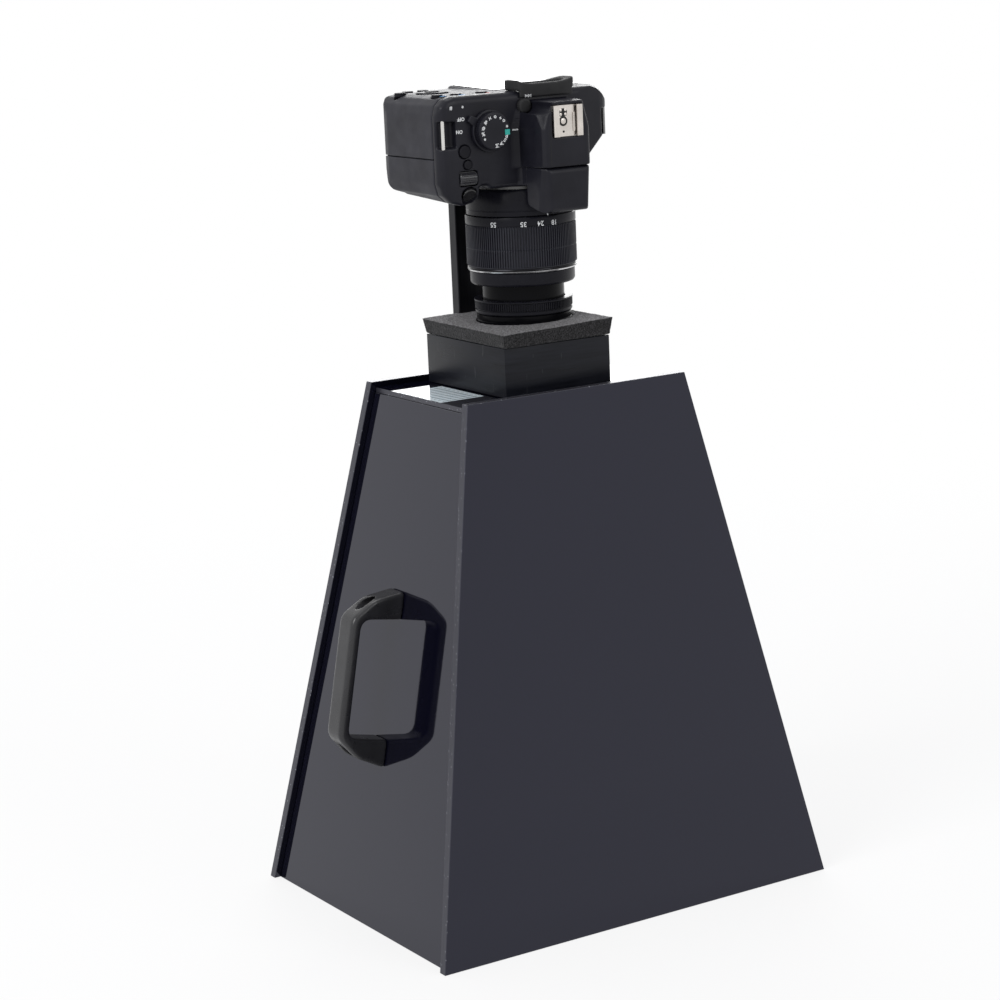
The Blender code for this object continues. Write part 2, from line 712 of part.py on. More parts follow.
turned("lens_skirt", [
    (SKIRT_RADIUS, level(skirt_low + SKIRT_HEIGHT)), (SKIRT_RADIUS, level(skirt_low) + 0.0016),
    (SKIRT_RADIUS - 0.0016, level(skirt_low)), (NECK_RADIUS + RUN, level(skirt_low)),
    (NECK_RADIUS + RUN, level(skirt_low) + 0.0025), (SLEEVE_RADIUS + SEAT, level(skirt_low) + 0.0025),
    (SLEEVE_RADIUS + SEAT, level(skirt_low + SKIRT_HEIGHT))], BODY_PLASTIC, lens)

# Zoom ring, the part that turns: core, rubber sleeve and bright ring
core_bore = SLEEVE_RADIUS + RUN
turned("zoom_ring", [
    (ZOOM_RADIUS - 0.0004, level(zoom_high)), (ZOOM_RADIUS, level(zoom_high) - 0.0006),
    (ZOOM_RADIUS, level(grip_high) + SEAT), (ZOOM_CORE_RADIUS, level(grip_high) + SEAT),
    (ZOOM_CORE_RADIUS, level(trim_low)), (core_bore, level(trim_low)),
    (core_bore, level(zoom_high))], BODY_PLASTIC, lens)
sleeve_hole = circle(ZOOM_CORE_RADIUS + SEAT)
add("zoom_grip", slab([ribbed(ZOOM_RADIUS, GRIP_RIB_DEPTH, GRIP_RIBS), sleeve_hole],
                      level(grip_low), level(grip_high)), RUBBER, lens)
turned("zoom_trim_ring", [
    (ZOOM_RADIUS - 0.0006, level(trim_low) + TRIM_HEIGHT), (ZOOM_RADIUS - 0.0002, level(trim_low) + 0.0012),
    (ZOOM_RADIUS - 0.0008, level(trim_low)), (ZOOM_CORE_RADIUS + SEAT, level(trim_low)),
    (ZOOM_CORE_RADIUS + SEAT, level(trim_low) + TRIM_HEIGHT)], STEEL, lens)

# Inner barrel, which slides out of the fixed barrel as the zoom ring turns
tube_high = level(grip_high) - ZOOM_RETRACT
tube_low = level(focus_low) + 0.0022
element_seat = tube_low + ELEMENT_THICKNESS + 0.001
turned("inner_barrel", [
    (NECK_RADIUS, tube_high), (NECK_RADIUS, tube_low), (bore_radius, tube_low),
    (bore_radius, element_seat), (bore_radius - 0.0015, element_seat),
    (bore_radius - 0.0015, tube_high)], GLOSS_PLASTIC, lens)

# Focus ring with a knurled band, filter frame screwed into it, glass in both
focus_bore = NECK_RADIUS + RUN
thread_bore = FILTER_RADIUS - 0.0012
lip_low = level(focus_low)
lip_high = lip_low + (FOCUS_HEIGHT - FOCUS_KNURL_HEIGHT) * 0.7
knurl_high = lip_high + FOCUS_KNURL_HEIGHT
focus_ring = turned("focus_ring", [
    (FOCUS_RADIUS + 0.0003, level(focus_high)), (FOCUS_RADIUS + 0.0003, knurl_high),
    (FOCUS_RADIUS - 0.001, knurl_high), (FOCUS_RADIUS - 0.001, lip_high),
    (FOCUS_RADIUS - 0.0002, lip_high), (FOCUS_RADIUS - 0.0006, lip_low), (thread_bore, lip_low),
    (thread_bore, lip_low + 0.0022), (focus_bore, lip_low + 0.0022),
    (focus_bore, level(focus_high))], BODY_PLASTIC, lens)
knurl = slab([ribbed(FOCUS_RADIUS, FOCUS_KNURL_DEPTH, FOCUS_RIBS), circle(FOCUS_RADIUS - 0.0025)],
             lip_high - 0.0002, knurl_high + 0.0002)
combine(focus_ring, tool(knurl, lens), "UNION")
element_radius = bore_radius - SEAT
turned("front_element", [
    (0, element_seat - SEAT), (element_radius, element_seat - SEAT),
    (element_radius, tube_low + 0.003), (element_radius * 0.75, tube_low + 0.0012),
    (element_radius * 0.4, tube_low + 0.0002), (0, tube_low - 0.0001)], GLASS, lens)
frame_high = level(focus_low) - SEAT
frame_low = level(filter_low)
glass_radius = thread_bore - 0.0022
turned("filter_frame", [
    (thread_bore - SEAT, frame_high + SEAT + 0.0018), (thread_bore - SEAT, frame_high),
    (FILTER_RADIUS, frame_high), (FILTER_RADIUS, frame_low), (glass_radius - 0.001, frame_low),
    (glass_radius - 0.001, frame_low + FILTER_LIP), (glass_radius, frame_low + FILTER_LIP),
    (glass_radius, frame_high + SEAT + 0.0018)], ANODISED, lens)
glass_low = frame_low + FILTER_LIP + SEAT
turned("filter_glass", [
    (0, glass_low + GLASS_THICKNESS), (glass_radius - SEAT, glass_low + GLASS_THICKNESS),
    (glass_radius - SEAT, glass_low), (0, glass_low)], AMBER, lens)

# Camera body: the outline seen from above the top plate, met by the outline seen from the front
grip_right = -BODY_LEFT + GRIP_WIDTH
plan_corners = [
    (BODY_RIGHT, BODY_DEPTH, BACK_ROUNDING), (BODY_RIGHT, RIGHT_SIDE_FOOT, 0.009),
    (SHOULDER_INNER, FRONT_STEP, 0.008), (BOSS_RADIUS - 0.006, FRONT_STEP, 0), (BOSS_RADIUS - 0.008, 0, 0),
    (grip_right + 0.009, 0, 0.0050), (grip_right + 0.006, FINGER_HOLLOW, 0.002),
    (grip_right + 0.001, FINGER_HOLLOW, 0.002), (grip_right, -GRIP_REACH, 0.008),
    (-BODY_LEFT, -GRIP_REACH, 0.014), (-BODY_LEFT, BODY_DEPTH, 0.011),
]
front_corners = [
    (BODY_RIGHT + TRIM, BODY_BASE + TRIM, 0.008), (-BODY_LEFT - TRIM, BODY_BASE + TRIM, 0.013),
    (-BODY_LEFT - TRIM, -BODY_TOP - TRIM, 0.006), (0.026, -BODY_TOP - TRIM, 0.010),
    (0.049, -BODY_TOP + 0.005, 0.012), (BODY_RIGHT + TRIM, -BODY_TOP + 0.018, 0.010),
]


def end_region():
    """Room that the body keeps to: the grip end has rounder base corners than the rest of it."""
    corners = [
        (BODY_BASE + TRIM, BODY_DEPTH + TRIM, END_BACK_ROUNDING),
        (BODY_BASE + TRIM, -GRIP_FOOT, END_BASE_ROUNDING),
        (-BODY_TOP - 0.010, -GRIP_REACH - 0.001, 0),
        (-BODY_TOP - 0.010, BODY_DEPTH + TRIM, 0),
    ]
    mesh = slab([rounded(corners, 5)], -FAR, FAR, "YZ")
    bm = bmesh.new()
    bm.from_mesh(mesh)
    for place in (END_ROUND_TO, END_ROUND_TO + END_FADE):
        bmesh.ops.bisect_plane(bm, geom=bm.verts[:] + bm.edges[:] + bm.faces[:], plane_co=(place, 0, 0),
                               plane_no=(1, 0, 0))
    middle_y = (BODY_BASE - BODY_TOP) / 2
    middle_z = BODY_DEPTH / 2
    for vert in bm.verts:
        if vert.co.x > END_ROUND_TO + TRIM:
            vert.co.y = middle_y + (vert.co.y - middle_y) * END_FADE_GROWTH
            vert.co.z = middle_z + (vert.co.z - middle_z) * END_FADE_GROWTH
    bpy.data.meshes.remove(mesh)
    return mesh_from(bm)


def body_mesh():
    """Body without its split lines; the grip gets shallower towards the base."""
    mesh = slab([rounded(plan_corners)], -BODY_TOP, BODY_BASE, "XZ", BODY_ROUNDING)
    bm = bmesh.new()
    bm.from_mesh(mesh)
    bmesh.ops.bisect_plane(bm, geom=bm.verts[:] + bm.edges[:] + bm.faces[:], plane_co=(0, 0, 0),
                           plane_no=(0, 0, 1))
    for vert in bm.verts:
        if vert.co.z < 0:
            share = (vert.co.y + BODY_TOP) / (BODY_TOP + BODY_BASE)
            vert.co.z *= 1 - (1 - GRIP_FOOT_SHARE) * share
    bmesh.ops.triangulate(bm, faces=[face for face in bm.faces if face.calc_center_median().z < 0])
    bpy.data.meshes.remove(mesh)
    return mesh_from(bm)


front_outline = tool(slab([rounded(front_corners)], -FAR, FAR), camera)
end_outline = tool(end_region(), camera)
shoulder_turn = Vector(SHOULDER_FACING).to_track_quat("Z", "Y").to_euler()
shoulder = tool(box((-FAR, -FAR, 0), (FAR, FAR, FAR)), camera, SHOULDER_POINT, shoulder_turn)
mount_boss = tool(disc(BOSS_RADIUS, -TRIM, FRONT_STEP + 0.004, ROUND_STEPS), camera)
cover_region = tool(box((-FAR, -FAR, -FAR), (FAR, -COVER_SEAM - SEAT / 2, FAR)), camera)
front_region = tool(box((-FAR, -COVER_SEAM + SEAT / 2, -FAR), (FAR, FAR, SHELL_SEAM - SEAT / 2)), camera)
back_region = tool(box((-FAR, -COVER_SEAM + SEAT / 2, SHELL_SEAM + SEAT / 2), (FAR, FAR, FAR)), camera)


def shell(name, region):
    """One of the three mouldings of the body; a slanted cut takes the edge off the right shoulder."""
    item = add(name, body_mesh(), BODY_PLASTIC, camera)
    combine(item, shoulder)
    combine(item, mount_boss, "UNION")
    combine(item, end_outline, "INTERSECT")
    combine(item, front_outline, "INTERSECT")
    combine(item, region, "INTERSECT")
    return item


front_shell = shell("front_shell", front_region)
back_shell = shell("back_shell", back_region)
top_cover = shell("top_cover", cover_region)
throat = disc(THROAT_RADIUS, -FAR, THROAT_DEPTH, ROUND_STEPS)
combine(front_shell, tool(throat, camera))
combine(front_shell, tool(disc(SOCKET_RADIUS + RUN, -SOCKET_DEPTH, 0.01), camera,
                          (0, BODY_BASE, SOCKET_LEVEL), (-math.pi / 2, 0, 0)))
combine(back_shell, tool(disc(SOCKET_RADIUS + RUN, -SOCKET_DEPTH, 0.01), camera,
                         (0, BODY_BASE, SOCKET_LEVEL), (-math.pi / 2, 0, 0)))

# Prism housing on the top cover and the flash head in front of it
housing_corners = [
    (-HOUSING_HALF - HOUSING_FLARE, -BODY_TOP + HOUSING_SINK, 0),
    (-HOUSING_HALF - 0.002, -BODY_TOP - 0.003, 0.003), (-HOUSING_HALF, -HOUSING_SHOULDER, 0.004),
    (-HOUSING_ROOF_HALF, -HOUSING_TOP, 0.003), (HOUSING_ROOF_HALF, -HOUSING_TOP, 0.003),
    (HOUSING_HALF, -HOUSING_SHOULDER, 0.004), (HOUSING_HALF + 0.002, -BODY_TOP - 0.003, 0.003),
    (HOUSING_HALF + HOUSING_FLARE, -BODY_TOP + HOUSING_SINK, 0),
]
housing_rear = BODY_DEPTH - HOUSING_FROM_BACK
housing_mesh = slab([rounded(housing_corners)], FLASH_SEAM + RUN, housing_rear)
bm = bmesh.new()
bm.from_mesh(housing_mesh)
bmesh.ops.bisect_plane(bm, geom=bm.verts[:] + bm.edges[:] + bm.faces[:], plane_co=(0, 0, HOUSING_WAIST),
                       plane_no=(0, 0, 1))
for vert in bm.verts:
    if vert.co.z > HOUSING_WAIST + TRIM:
        vert.co.x *= HOUSING_REAR_SHARE
bmesh.ops.triangulate(bm, faces=bm.faces[:])
housing = tool(mesh_from(bm), camera)
shoe_half = SHOE_WIDTH / 2
shoe_floor = -HOUSING_TOP + SHOE_SINK
shoe_top = shoe_floor - SHOE_HEIGHT
shoe_far = housing_rear - SHOE_FROM_REAR
shoe_near = shoe_far - SHOE_LENGTH
pocket = box((-shoe_half - SEAT, -HOUSING_TOP - 0.01, shoe_near - SEAT),
             (shoe_half + SEAT, shoe_floor + SEAT, shoe_far + SEAT))
combine(housing, tool(pocket, camera))
combine(top_cover, housing, "UNION")
bed_corners = [
    (-BED_FOOT, -BODY_TOP + BED_SINK, 0), (-BED_HALF, -FLASH_BED + RUN, 0.001),
    (BED_HALF, -FLASH_BED + RUN, 0.001), (BED_FOOT, -BODY_TOP + BED_SINK, 0),
]
bed = slab([rounded(bed_corners, 2)], BED_INSET, FLASH_SEAM + 2 * RUN)
combine(top_cover, tool(bed, camera), "UNION")

flash_section = slab([rounded(housing_corners)], -0.030, FLASH_SEAM + 0.010)
for vert in flash_section.vertices:
    if vert.co.z < 0:
        vert.co.x *= NOSE_TAPER
flash_profile = [
    (-HOUSING_TOP, FLASH_SEAM, FLASH_PIVOT), (-HOUSING_TOP, -NOSE_REACH + 0.001, 0.004),
    (-HOUSING_TOP + 0.006, -NOSE_REACH, 0.004), (-FLASH_BED, -NOSE_REACH + 0.0045, 0.003),
    (-FLASH_BED, FLASH_SEAM - 0.002, 0), (-FLASH_BED - 0.002, FLASH_SEAM, 0),
]
pivot = (0, -HOUSING_TOP + FLASH_PIVOT, FLASH_SEAM - FLASH_PIVOT)
flash_side = slab([rounded(flash_profile, 5)], -0.03, 0.03, "YZ")
flash_head = add("flash_head", about(flash_side, pivot), BODY_PLASTIC, camera, pivot)
combine(flash_head, tool(flash_section, camera), "INTERSECT")
window_low = -HOUSING_TOP + FLASH_WINDOW_DROP
window_pocket = box((-FLASH_WINDOW_WIDTH / 2, window_low, -FAR),
                    (FLASH_WINDOW_WIDTH / 2, window_low + FLASH_WINDOW_HEIGHT,
                     -NOSE_REACH + FLASH_WINDOW_SINK))
combine(flash_head, tool(window_pocket, camera))

# Hot shoe: a folded steel channel sunk in the roof
shoe_outline = [
    (-shoe_half, shoe_floor), (shoe_half, shoe_floor), (shoe_half, shoe_top),
    (shoe_half - SHOE_LIP, shoe_top), (shoe_half - SHOE_LIP, shoe_top + SHOE_WALL),
    (shoe_half - SHOE_WALL, shoe_top + SHOE_WALL), (shoe_half - SHOE_WALL, shoe_floor - SHOE_WALL),
    (-shoe_half + SHOE_WALL, shoe_floor - SHOE_WALL), (-shoe_half + SHOE_WALL, shoe_top + SHOE_WALL),
    (-shoe_half + SHOE_LIP, shoe_top + SHOE_WALL), (-shoe_half + SHOE_LIP, shoe_top),
    (-shoe_half, shoe_top),
]
add("hot_shoe", slab([shoe_outline], shoe_near, shoe_far), STEEL, camera)

# Mode dial over the power lever, both on one spindle that stands out of the top cover
OUT_OF_TOP = (math.pi / 2, 0, 0)
dial_place = (DIAL_X, -BODY_TOP, DIAL_Z)
lever_low = RUN
dial_low = lever_low + LEVER_HEIGHT + RUN
combine(top_cover, tool(disc(DIAL_SPINDLE + RUN, -SPINDLE_DEPTH - RUN, 0.01), camera, dial_place,
                        OUT_OF_TOP))
dial = add("mode_dial", slab([ribbed(DIAL_RADIUS, 0.0004, DIAL_RIBS)], dial_low, dial_low + DIAL_HEIGHT),
           BODY_PLASTIC, camera, dial_place, OUT_OF_TOP)
combine(dial, tool(disc(DIAL_SPINDLE, -SPINDLE_DEPTH, dial_low + 0.001), camera, dial_place, OUT_OF_TOP),
        "UNION")


def lever_outline():
    """Ring with one tab, drawn round from one side of the tab to the other."""
    side = math.asin(LEVER_TAB_HALF / LEVER_RADIUS)
    aim = math.radians(LEVER_ANGLE)
    points = []
    for step in range(ROUND_STEPS + 1):
        angle = aim + side + (math.tau - 2 * side) * step / ROUND_STEPS
        points.append((LEVER_RADIUS * math.cos(angle), LEVER_RADIUS * math.sin(angle)))
    for across in (-0.75, 0.75):
        tip = Matrix.Rotation(aim, 2) @ Vector((LEVER_TAB_REACH, LEVER_TAB_HALF * across))
        points.append(tip)
    return points


add("power_lever", slab([lever_outline(), circle(DIAL_SPINDLE + RUN)], lever_low, lever_low + LEVER_HEIGHT),
    BODY_PLASTIC, camera, dial_place, OUT_OF_TOP)

# Main dial: a ribbed wheel on an axle, half sunk behind the shutter button
wheel_place = (WHEEL_X, -BODY_TOP + WHEEL_RADIUS - WHEEL_RISE, WHEEL_Z)
slot_half_z = WHEEL_RADIUS + WHEEL_ROOM
slot = box((WHEEL_X - WHEEL_WIDTH / 2 - RUN, -FAR, WHEEL_Z - slot_half_z),
           (WHEEL_X + WHEEL_WIDTH / 2 + RUN, wheel_place[1] + slot_half_z, WHEEL_Z + slot_half_z))
combine(top_cover, tool(slot.copy(), camera))
combine(front_shell, tool(slot, camera))
axle_half = WHEEL_WIDTH / 2 + AXLE_LENGTH
ALONG_X = (0, math.pi / 2, 0)
axle_bore = disc(AXLE_RADIUS + RUN, -axle_half - RUN, axle_half + RUN)
combine(top_cover, tool(axle_bore, camera, wheel_place, ALONG_X))
wheel = add("main_dial", slab([ribbed(WHEEL_RADIUS, 0.0005, WHEEL_RIBS)], -WHEEL_WIDTH / 2, WHEEL_WIDTH / 2),
            BODY_PLASTIC, camera, wheel_place, ALONG_X)
combine(wheel, tool(disc(AXLE_RADIUS, -axle_half, axle_half), camera, wheel_place, ALONG_X), "UNION")


def push_button(name, carrier, place, rotation, radius, height, rise, material=BODY_PLASTIC):
    """Round button in a well; its local Z points out and its cap stands out by rise."""
    combine(carrier, tool(disc(radius + RUN, rise - height - WELL_SPARE, OVERRUN), camera, place, rotation))
    add(name, disc(radius, rise - height, rise, SMALL_STEPS, BUTTON_DOME), material, camera, place, rotation)


for name, (x, z, radius) in TOP_BUTTONS.items():
    push_button(name, top_cover, (x, -BODY_TOP, z), OUT_OF_TOP, radius, BUTTON_HEIGHT, BUTTON_RISE)
shutter_place = (SHUTTER_X, SHUTTER_Y, SHUTTER_Z)
shutter_turn = (math.pi / 2 + math.radians(SHUTTER_TILT), 0, 0)
combine(top_cover, tool(disc(SHUTTER_WELL, -0.0002, OVERRUN), camera, shutter_place, shutter_turn))
push_button("shutter_button", top_cover, shutter_place, shutter_turn, SHUTTER_RADIUS - 0.0006,
            SHUTTER_HEIGHT, SHUTTER_HEIGHT * 0.45, GLOSS_PLASTIC)

# Strap lugs: a steel bar across a pocket in each shoulder
for name, (x, y, z), out in (("left", LEFT_LUG, -1), ("right", RIGHT_LUG, 1)):
    inner = x - out * LUG_POCKET_REACH
    outer = x + out * OVERRUN
    low = (min(inner, outer), y - OVERRUN, z - LUG_LENGTH / 2 + LUG_SEAT)
    high = (max(inner, outer), y + LUG_POCKET / 2, z + LUG_LENGTH / 2 - LUG_SEAT)
    carriers = (top_cover,) if y + LUG_POCKET / 2 < -COVER_SEAM else (top_cover, front_shell, back_shell)
    for carrier in carriers:
        combine(carrier, tool(box(low, high), camera))
        combine(carrier, tool(disc(LUG_RADIUS + SEAT, -LUG_LENGTH / 2 - SEAT, LUG_LENGTH / 2 + SEAT),
                              camera, (x, y, z)))
    add(name + "_strap_lug", disc(LUG_RADIUS, -LUG_LENGTH / 2, LUG_LENGTH / 2), STEEL, camera, (x, y, z))

# Eyecup: a rubber frame round the finder, with a skirt over the edge of the top cover
cup_near = -EYECUP_TOP
cup_far = cup_near + EYECUP_HEIGHT
cup_low = BODY_DEPTH + SEAT
cup_outer = rounded([(-EYECUP_HALF, cup_near, 0.003), (EYECUP_HALF, cup_near, 0.003),
                     (EYECUP_HALF, cup_far, 0.008), (-EYECUP_HALF, cup_far, 0.008)], 3)
cup_inner = rounded([(-EYECUP_HALF + EYECUP_WALL, cup_near + EYECUP_WALL, 0.003),
                     (EYECUP_HALF - EYECUP_WALL, cup_near + EYECUP_WALL, 0.003),
                     (EYECUP_HALF - EYECUP_WALL, cup_far - EYECUP_WALL, 0.004),
                     (-EYECUP_HALF + EYECUP_WALL, cup_far - EYECUP_WALL, 0.004)], 3)
eyecup = add("eyecup", slab([cup_outer, cup_inner], cup_low, cup_low + EYECUP_RISE, "XY", 0.0012), RUBBER,
             camera)
skirt = box((-EYECUP_HALF + 0.002, cup_near, cup_low - EYECUP_SKIRT),
            (EYECUP_HALF - 0.002, -BODY_TOP - SEAT, cup_low + 0.003), 0.0003, 1)
combine(eyecup, tool(skirt, camera), "UNION")

# Dioptre knob below the eyecup's skirt, in a notch at the rear corner of the housing
knob_place = (DIOPTRE_X, -BODY_TOP, cup_low - EYECUP_SKIRT - RUN - DIOPTRE_RADIUS)
combine(top_cover, tool(disc(DIOPTRE_RADIUS + RUN, RUN, OVERRUN), camera, knob_place, OUT_OF_TOP))
combine(top_cover, tool(disc(DIOPTRE_SPINDLE + RUN, -0.0025, OVERRUN), camera, knob_place, OUT_OF_TOP))
dioptre = add("dioptre_knob", slab([ribbed(DIOPTRE_RADIUS, 0.0004, DIOPTRE_RIBS)], 2 * RUN,
                                   2 * RUN + DIOPTRE_HEIGHT), BODY_PLASTIC, camera, knob_place, OUT_OF_TOP)
combine(dioptre, tool(disc(DIOPTRE_SPINDLE, -0.002, 0.002), camera, knob_place, OUT_OF_TOP), "UNION")

# Screen: a raised bezel on the back shell with the glossy window in it
bezel = box((SCREEN_LEFT - SCREEN_BEZEL, SCREEN_NEAR - SCREEN_BEZEL, BODY_DEPTH - 0.004),
            (SCREEN_RIGHT + SCREEN_BEZEL, SCREEN_FAR + SCREEN_BEZEL, BODY_DEPTH + SCREEN_RAISE), 0.0015)
combine(back_shell, tool(bezel, camera), "UNION")
glass_floor = BODY_DEPTH + SCREEN_RAISE - SCREEN_GLASS
combine(back_shell, tool(box((SCREEN_LEFT - SEAT, SCREEN_NEAR - SEAT, glass_floor - SEAT),
                             (SCREEN_RIGHT + SEAT, SCREEN_FAR + SEAT, FAR)), camera))
add("screen_window", box((SCREEN_LEFT, SCREEN_NEAR, glass_floor),
                         (SCREEN_RIGHT, SCREEN_FAR, BODY_DEPTH + SCREEN_RAISE + 0.0004), 0.0003, 1),
    GLOSS_PLASTIC, camera)

# Buttons of the back, each in its own well
for name, (x, y) in BACK_BUTTONS.items():
    push_button(name, back_shell, (x, y, BODY_DEPTH), (0, 0, 0), BACK_BUTTON_RADIUS, BUTTON_HEIGHT,
                BUTTON_RISE)
pad_place = (PAD_X, PAD_Y, BODY_DEPTH)
pad_low = BUTTON_RISE - BUTTON_HEIGHT
combine(back_shell, tool(disc(PAD_RADIUS + RUN, pad_low - 0.0010, 0.02, ROUND_STEPS), camera, pad_place))
add("cross_keys", slab([circle(PAD_RADIUS), circle(SET_RADIUS + RUN, SMALL_STEPS)], pad_low, BUTTON_RISE,
                       "XY", 0.0004), BODY_PLASTIC, camera, pad_place)
add("set_button", disc(SET_RADIUS, pad_low, BUTTON_RISE + 0.0006, SMALL_STEPS, BUTTON_DOME), BODY_PLASTIC,
    camera, pad_place)

# Battery door in the base, which turns about a pin along its outer edge
door_left = BATTERY_DOOR_LEFT
door_right = door_left + BATTERY_DOOR_WIDTH
door_low = SHELL_SEAM + BATTERY_DOOR_FROM_SEAM
door_high = door_low + BATTERY_DOOR_LENGTH
door_inner = BODY_BASE - DOOR_THICKNESS
door_bend = DOOR_THICKNESS / 2 - TRIM
recess = box((door_left - RUN, door_inner - RUN, door_low - RUN), (door_right + RUN, FAR, door_high + RUN))
combine(back_shell, tool(recess, camera))
door_pivot = (door_left + DOOR_THICKNESS / 2, BODY_BASE - DOOR_THICKNESS / 2, (door_low + door_high) / 2)
door_profile = [(door_left, door_inner, door_bend), (door_right, door_inner, 0), (door_right, BODY_BASE, 0),
                (door_left, BODY_BASE, door_bend)]
add("battery_door", about(slab([rounded(door_profile)], door_low, door_high), door_pivot), BODY_PLASTIC,
    camera, door_pivot)

# Terminal cover: a rubber flap in the right end of the body, hinged on its front edge
flap_low = SHELL_SEAM + TERMINAL_FROM_SEAM
flap_high = flap_low + TERMINAL_WIDTH
flap_far = TERMINAL_TOP + TERMINAL_HEIGHT
flap_inner = BODY_RIGHT - DOOR_THICKNESS
recess = box((flap_inner - RUN, TERMINAL_TOP - RUN, flap_low - RUN), (FAR, flap_far + RUN, flap_high + RUN))
combine(back_shell, tool(recess, camera))
flap_pivot = (BODY_RIGHT - DOOR_THICKNESS / 2, (TERMINAL_TOP + flap_far) / 2, flap_low + DOOR_THICKNESS / 2)
flap_profile = [(flap_inner, flap_low, door_bend), (BODY_RIGHT, flap_low, door_bend),
                (BODY_RIGHT, flap_high, 0), (flap_inner, flap_high, 0)]
flap = slab([rounded(flap_profile)], TERMINAL_TOP, flap_far, "XZ")
add("terminal_cover", about(flap, flap_pivot), RUBBER, camera, flap_pivot)

# Lens release button on a boss of the front face, beside the mount
OUT_OF_FRONT = (math.pi, 0, 0)
release_place = (RELEASE_X, RELEASE_Y, FRONT_STEP - RELEASE_STAND)
boss = disc(RELEASE_RADIUS + RELEASE_BOSS_WALL, -RELEASE_BOSS_DEPTH, -0.0002, ROUND_STEPS)
combine(front_shell, tool(boss, camera, release_place, OUT_OF_FRONT), "UNION")
push_button("lens_release_button", front_shell, release_place, OUT_OF_FRONT, RELEASE_RADIUS,
            RELEASE_RISE + 0.004, RELEASE_RISE)
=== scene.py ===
"""Looks of a gel documentation hood: acrylic hood, collar, foam seal and a camera on its bracket."""
import math

import bpy
from mathutils import Matrix, Vector, noise


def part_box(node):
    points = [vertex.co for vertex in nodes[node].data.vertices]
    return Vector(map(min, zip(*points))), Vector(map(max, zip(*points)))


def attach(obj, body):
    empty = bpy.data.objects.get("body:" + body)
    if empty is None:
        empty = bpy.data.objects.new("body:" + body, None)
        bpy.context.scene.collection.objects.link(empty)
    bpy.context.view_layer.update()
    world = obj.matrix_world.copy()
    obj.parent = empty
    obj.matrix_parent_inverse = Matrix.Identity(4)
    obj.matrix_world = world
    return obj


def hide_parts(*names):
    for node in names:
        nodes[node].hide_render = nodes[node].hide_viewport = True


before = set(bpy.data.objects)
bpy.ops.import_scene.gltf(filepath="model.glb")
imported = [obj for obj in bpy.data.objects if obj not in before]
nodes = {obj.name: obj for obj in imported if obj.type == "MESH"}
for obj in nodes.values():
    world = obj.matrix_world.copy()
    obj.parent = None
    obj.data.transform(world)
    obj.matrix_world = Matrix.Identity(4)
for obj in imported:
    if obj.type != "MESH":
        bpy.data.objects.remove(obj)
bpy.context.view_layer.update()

# Viewpoint: a long lens a little under two metres away, on the hood's left front side.
# The sideways and upward directions of the view are those of a camera held slightly askew.
VIEW_PLACE = Vector((-0.904504, -1.402230, 0.609366))
VIEW_RIGHT = Vector((0.840803, -0.539709, -0.042011))
VIEW_BACK = Vector((-0.520607, -0.827408, 0.210765))
VIEW_LENS_MM = 97.09
VIEW_SENSOR_MM = 36.0
VIEW_FAR_END = 50.0
view_up = VIEW_BACK.cross(VIEW_RIGHT).normalized()
view_data = bpy.data.cameras.new("viewpoint")
view_data.sensor_width = VIEW_SENSOR_MM
view_data.lens = VIEW_LENS_MM
view_data.clip_end = VIEW_FAR_END
viewpoint = bpy.data.objects.new("viewpoint", view_data)
bpy.context.scene.collection.objects.link(viewpoint)
turn = Matrix((VIEW_RIGHT, view_up, VIEW_BACK)).transposed().to_4x4()
viewpoint.matrix_world = Matrix.Translation(VIEW_PLACE) @ turn
bpy.context.scene.camera = viewpoint
bpy.context.scene.view_settings.view_transform = "Standard"

# Studio: white paper floor and backdrop, broad soft lights at the left, in front and above, and
# a bright screen behind, which the shiny top plate mirrors towards the viewer.
FLOOR_SIZE = 14.0
FLOOR_DROP = 0.0002
FLOOR_GLOW = 0.80
FLOOR_SHADE_TO = 0.55
FLOOR_WHITE_FROM = 1.50
ROOM_LIGHT = 0.42
WHITE = (1.0, 1.0, 1.0, 1.0)


def value(tree, operation, first, second):
    """Result of one sum on numbers or sockets."""
    step = tree.nodes.new("ShaderNodeMath")
    step.operation = operation
    for socket, given in ((step.inputs[0], first), (step.inputs[1], second)):
        if isinstance(given, (int, float)):
            socket.default_value = given
        else:
            tree.links.new(given, socket)
    return step.outputs[0]


def lit_to_viewer(tree):
    """1 where a surface is seen directly, mirrored or through glass, and 0 where it lights things."""
    paths = tree.nodes.new("ShaderNodeLightPath").outputs
    seen = value(tree, "MAXIMUM", paths["Is Camera Ray"], paths["Is Glossy Ray"])
    return value(tree, "MAXIMUM", seen, paths["Is Transmission Ray"])


def glowing(tree, kind, colour, strength):
    source = tree.nodes.new(kind)
    source.inputs["Color"].default_value = colour
    source.inputs["Strength"].default_value = strength
    return source.outputs[0]


def either(tree, amount, first, second):
    """The first shader where the amount is 0, and the second where it is 1."""
    mix = tree.nodes.new("ShaderNodeMixShader")
    for socket, source in zip(mix.inputs, (amount, first, second)):
        tree.links.new(source, socket)
    return mix.outputs[0]


def new_finish(name):
    """Material with its node tree and its shader."""
    material = bpy.data.materials.new(name)
    material.use_nodes = True
    return material, material.node_tree, material.node_tree.nodes["Principled BSDF"]


room = bpy.data.worlds.new("white_studio")
bpy.context.scene.world = room
room.use_nodes = True
tree = room.node_tree
tree.nodes.clear()
fill = glowing(tree, "ShaderNodeBackground", (0.97, 0.98, 1.0, 1.0), ROOM_LIGHT)
backdrop = glowing(tree, "ShaderNodeBackground", WHITE, 1.0)
world_out = tree.nodes.new("ShaderNodeOutputWorld")
tree.links.new(either(tree, lit_to_viewer(tree), fill, backdrop), world_out.inputs["Surface"])

